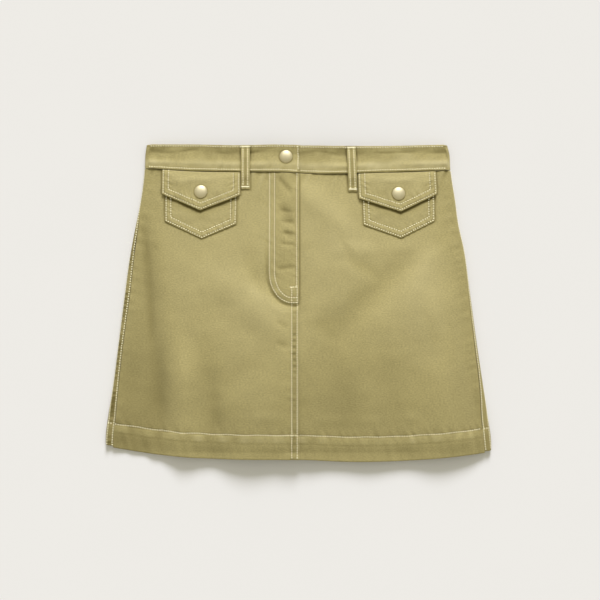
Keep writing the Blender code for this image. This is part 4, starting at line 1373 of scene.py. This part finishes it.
def make_cap(which, scene):
    """A pressed snap cap: a plain low dome with its edge rolled in."""
    spot, normal = face_frame(lambda x, y: cap_height(which, x, y), *SNAPS[which])
    upright = Vector(UP).rotation_difference(normal)
    base = spot + normal * CAP_LIFT
    points, faces = [], []
    for radius, height in CAP:
        for k in range(CAP_SEGMENTS):
            turn = 2 * math.pi * k / CAP_SEGMENTS
            flat = Vector((radius * math.cos(turn), radius * math.sin(turn), height))
            points.append(base + upright @ flat)
    for above in range(0, (len(CAP) - 1) * CAP_SEGMENTS, CAP_SEGMENTS):
        below = above + CAP_SEGMENTS
        for k in range(CAP_SEGMENTS):
            n = (k + 1) % CAP_SEGMENTS
            faces.append((above + k, below + k, below + n, above + n))
    cap = mesh_object(f"snap_{which}_cap_metal", np.array(points), faces, {})
    work = bmesh.new()
    work.from_mesh(cap.data)
    bmesh.ops.remove_doubles(work, verts=work.verts, dist=1e-7)
    bmesh.ops.recalc_face_normals(work, faces=work.faces)
    work.to_mesh(cap.data)
    work.free()
    return finish_piece(cap, cap_metal(scene), f"snap_{which}_cap", f"snap_{which}_cap")


class SkirtCloth(bpy.types.PropertyGroup):
    """The cloth's colour, its painted light and shade with its rubbed edges, and its weave."""

    colour: FloatVectorProperty(
        name="Dye", description="Colour of the flat cloth", subtype="COLOR", size=3, min=0,
        max=1, default=linear(0xAB9F6B))
    # The pale colour is for rubbed edges and for painted highlight.
    pale_for_rubbing_and_highlight: FloatVectorProperty(
        name="Worn", description="Colour that ridges and edges fade to", subtype="COLOR", size=3,
        min=0, max=1, default=linear(0xCBC093))
    # The dark colour is for painted shade in creases, grooves, seams and beside the pieces.
    deep: FloatVectorProperty(
        name="Deep", description="Colour that stays in seams and grooves", subtype="COLOR",
        size=3, min=0, max=1, default=linear(0x6A5F30))
    # How strongly painted light and shade, and the rubbed edges, change the colour.
    fade: FloatProperty(
        name="Fade", description="How strongly relief changes the colour", min=0, max=1,
        default=0.35)
    grain: FloatProperty(
        name="Grain", description="How much the yarns vary in tone", min=0, max=2, default=1.05)
    rib: FloatProperty(
        name="Twill rib", description="Spacing of the diagonal ribs as drawn", unit="LENGTH",
        default=1.5 * MM)


class SkirtThread(bpy.types.PropertyGroup):
    """The topstitching's thread."""

    colour: FloatVectorProperty(
        name="Thread", description="Colour of the topstitching", subtype="COLOR", size=3, min=0,
        max=1, default=linear(0xFFF8D4))
    pitch: FloatProperty(
        name="Stitch pitch", description="From one stitch to the next", unit="LENGTH",
        default=3.0 * MM)
    length: FloatProperty(
        name="Stitch length", description="Visible length of a stitch", unit="LENGTH",
        default=1.75 * MM)
    radius: FloatProperty(
        name="Thread radius", description="Half the thread's thickness", unit="LENGTH",
        default=0.72 * MM)


class SkirtSnap(bpy.types.PropertyGroup):
    """The metal of the snap caps."""

    colour: FloatVectorProperty(
        name="Plating", description="Colour of the caps", subtype="COLOR", size=3, min=0, max=1,
        default=linear(0xE0D6B2))
    roughness: FloatProperty(
        name="Roughness", description="How satin the caps are", subtype="FACTOR", min=0.1, max=1,
        default=0.58)


class SkirtStage(bpy.types.PropertyGroup):
    """The floor, the lights and the camera."""

    floor: FloatVectorProperty(
        name="Floor", description="Colour of the board it lies on", subtype="COLOR", size=3,
        min=0, max=1, default=linear(0xECEBEB))
    key: FloatProperty(
        name="Key light", description="Strength of the soft key light", default=3.36)
    key_height: FloatProperty(
        name="Key height", description="The key light's height above the horizon",
        subtype="ANGLE", default=math.radians(29))
    key_side: FloatProperty(
        name="Key side", description="How far right of the waist the key light stands",
        subtype="ANGLE", default=math.radians(5))
    key_spread: FloatProperty(
        name="Key softness", description="How wide the key light looks", subtype="ANGLE",
        default=math.radians(22))
    fill: FloatProperty(name="Fill", description="Strength of the light all round", default=0.54)
    lens: FloatProperty(
        name="Lens", description="Focal length in millimetres on a 36 mm sensor", default=120.0)
    distance: FloatProperty(
        name="Camera height", description="From the floor to the camera", unit="LENGTH",
        default=2.412)
    aim: FloatVectorProperty(
        name="Camera place", description="The point straight below the camera", size=2,
        unit="LENGTH", default=(1.7 * MM, 3.8 * MM))


class SKIRT_OT_fronts(bpy.types.Operator):
    """The two fronts, with the fly's J, the centre seam and the hem"""

    bl_idname = "skirt.fronts"
    bl_label = "Fronts"

    def execute(self, context):
        scene = context.scene
        for side in (-1, 1):
            piece = make_front(side, scene)
            threads = sew(piece, front_rows(side, piece), scene)
        return {"FINISHED"}


class SKIRT_OT_back(bpy.types.Operator):
    """The back panel, which wraps round both sides"""

    bl_idname = "skirt.back"
    bl_label = "Back"

    def execute(self, context):
        piece = make_back(context.scene)
        threads = sew(piece, back_rows(piece), context.scene)
        return {"FINISHED"}


class SKIRT_OT_waistband(bpy.types.Operator):
    """The waistband, one strip all round with its lap at the centre front"""

    bl_idname = "skirt.waistband"
    bl_label = "Waistband"

    def execute(self, context):
        piece = make_waistband(context.scene)
        threads = sew(piece, band_rows(piece), context.scene)
        around = 2 * Ring(0.5, BAND, radius=BAND_FOLD_R).half + BAND_END - BAND_UNDER
        return {"FINISHED"}


class SKIRT_OT_pockets(bpy.types.Operator):
    """The two patch pockets and their flaps"""

    bl_idname = "skirt.pockets"
    bl_label = "Pockets and flaps"

    def execute(self, context):
        scene = context.scene
        for patch, below in zip(POCKETS, ("front_left", "front_right")):
            piece = make_pocket(patch, scene)
            threads = sew(piece, patch_rows(patch, piece, POCKET_ROWS, 230), scene)
        for patch, below in zip(FLAPS, ("pocket_left", "pocket_right")):
            piece = make_flap(patch, scene)
            threads = sew(piece, patch_rows(patch, piece, FLAP_ROWS, 240), scene)
        return {"FINISHED"}


class SKIRT_OT_belt_loops(bpy.types.Operator):
    """The two belt loops in front and the three on the back"""

    bl_idname = "skirt.belt_loops"
    bl_label = "Belt loops"

    def execute(self, context):
        scene = context.scene
        for loop in LOOPS:
            piece = make_loop(loop, scene)
            threads = sew(piece, loop_rows(loop, piece), scene)
        for name, middle in zip(("left", "centre", "right"), BACK_LOOPS):
            node = f"belt_loop_back_{name}"
            piece = make_back_loop(node, middle, scene)
            threads = sew(piece, back_loop_rows(middle, piece), scene)
        return {"FINISHED"}


class SKIRT_OT_snaps(bpy.types.Operator):
    """The three snap caps, and the metal of the studs behind them"""

    bl_idname = "skirt.snaps"
    bl_label = "Snaps"

    def execute(self, context):
        for which in SNAPS:
            make_cap(which, context.scene)
            for place in bpy.data.objects[f"snap_{which}_stud"].material_slots:
                place.material = cap_metal(context.scene)
        return {"FINISHED"}


class SKIRT_OT_stage(bpy.types.Operator):
    """The pale board it lies on, the soft light and the camera straight above"""

    bl_idname = "skirt.stage"
    bl_label = "Stage"

    def execute(self, context):
        stage = context.scene.skirt_stage
        make_floor(stage)
        make_lights(stage)
        make_camera(stage)
        return {"FINISHED"}


def painted_board(stage):
    """Board with a smooth matt paint: even, with the faintest mottle."""
    material, tree, shader = new_material("matt painted board", stage.floor)
    place = add(tree, "ShaderNodeNewGeometry").outputs["Position"]
    mottle = add(tree, "ShaderNodeTexNoise", {"Vector": place, "Scale": 9.0, "Detail": 3.0})
    tone = add(tree, "ShaderNodeMapRange", {"Value": mottle.outputs["Fac"], "To Min": 0.993,
                                            "To Max": 1.007})
    tint = add(tree, "ShaderNodeVectorMath", {0: (*stage.floor,), 3: tone.outputs[0]},
               operation="SCALE")
    tree.links.new(tint.outputs["Vector"], shader.inputs["Base Color"])
    shader.inputs["Roughness"].default_value = 0.9
    shader.inputs["Specular IOR Level"].default_value = 0.1
    return material


def make_floor(stage):
    """A square of board, just below the underside so that the two don't flicker."""
    half, low = 3.0, -0.2 * MM
    mesh = bpy.data.meshes.new("floor")
    corners = [(-half, -half, low), (half, -half, low), (half, half, low), (-half, half, low)]
    mesh.from_pydata(corners, [], [(0, 1, 2, 3)])
    mesh.materials.append(painted_board(stage))
    floor = bpy.data.objects.new("floor", mesh)
    bpy.context.scene.collection.objects.link(floor)


def make_lights(stage):
    """One soft key light from the waist's side, slightly cool, and a warmer light all round."""
    light = bpy.data.lights.new("key", "SUN")
    light.energy = stage.key
    light.angle = stage.key_spread
    light.color = (0.92, 0.925, 1.0)
    key = bpy.data.objects.new("key", light)
    flat = math.cos(stage.key_height)
    toward = Vector((math.sin(stage.key_side) * flat, math.cos(stage.key_side) * flat,
                     math.sin(stage.key_height)))
    key.rotation_mode = "QUATERNION"
    key.rotation_quaternion = toward.to_track_quat("Z", "Y")
    key.location = toward * 2
    bpy.context.scene.collection.objects.link(key)
    world = bpy.data.worlds.new("soft room")
    world.use_nodes = True
    background = world.node_tree.nodes["Background"]
    background.inputs["Color"].default_value = (1.0, 0.97, 0.8, 1)
    background.inputs["Strength"].default_value = stage.fill
    bpy.context.scene.world = world
    bpy.context.scene.view_settings.view_transform = "Standard"


def make_camera(stage):
    """A long lens straight above, which shows the skirt with hardly any perspective."""
    lens = bpy.data.cameras.new("camera")
    lens.lens = stage.lens
    lens.sensor_width = 36.0
    camera = bpy.data.objects.new("camera", lens)
    camera.location = (stage.aim[0], stage.aim[1], stage.distance)
    bpy.context.scene.collection.objects.link(camera)
    bpy.context.scene.camera = camera


class SKIRT_PT_sidebar(bpy.types.Panel):
    """Lists the skirt's settings and the steps that make it"""

    bl_idname = "SKIRT_PT_sidebar"
    bl_label = "Cargo Utility Skirt"
    bl_space_type = "VIEW_3D"
    bl_region_type = "UI"
    bl_category = "Skirt"

    def draw(self, context):
        layout = self.layout
        for title, group, _ in SETTINGS:
            box = layout.box()
            box.label(text=title)
            settings = getattr(context.scene, group)
            for name in settings.__annotations__:
                box.prop(settings, name)
        column = layout.column()
        for step in STEPS:
            column.operator(step.bl_idname)


SETTINGS = (
    ("Cloth", "skirt_cloth", SkirtCloth), ("Thread", "skirt_thread", SkirtThread),
    ("Snaps", "skirt_snap", SkirtSnap), ("Stage", "skirt_stage", SkirtStage),
)
STEPS = (SKIRT_OT_stage, SKIRT_OT_back, SKIRT_OT_fronts, SKIRT_OT_waistband, SKIRT_OT_pockets,
         SKIRT_OT_belt_loops, SKIRT_OT_snaps)
CLASSES = (*(kind for _, _, kind in SETTINGS), *STEPS, SKIRT_PT_sidebar)


def register():
    for item in CLASSES:
        bpy.utils.register_class(item)
    for _, group, kind in SETTINGS:
        setattr(bpy.types.Scene, group, PointerProperty(type=kind))


def unregister():
    for _, group, _ in SETTINGS:
        delattr(bpy.types.Scene, group)
    for item in reversed(CLASSES):
        bpy.utils.unregister_class(item)


def main():
    register()
    bpy.ops.skirt.stage()
    bpy.ops.skirt.back()
    bpy.ops.skirt.fronts()
    bpy.ops.skirt.waistband()
    bpy.ops.skirt.pockets()
    bpy.ops.skirt.belt_loops()
    bpy.ops.skirt.snaps()


if __name__ == "__main__":
    main()
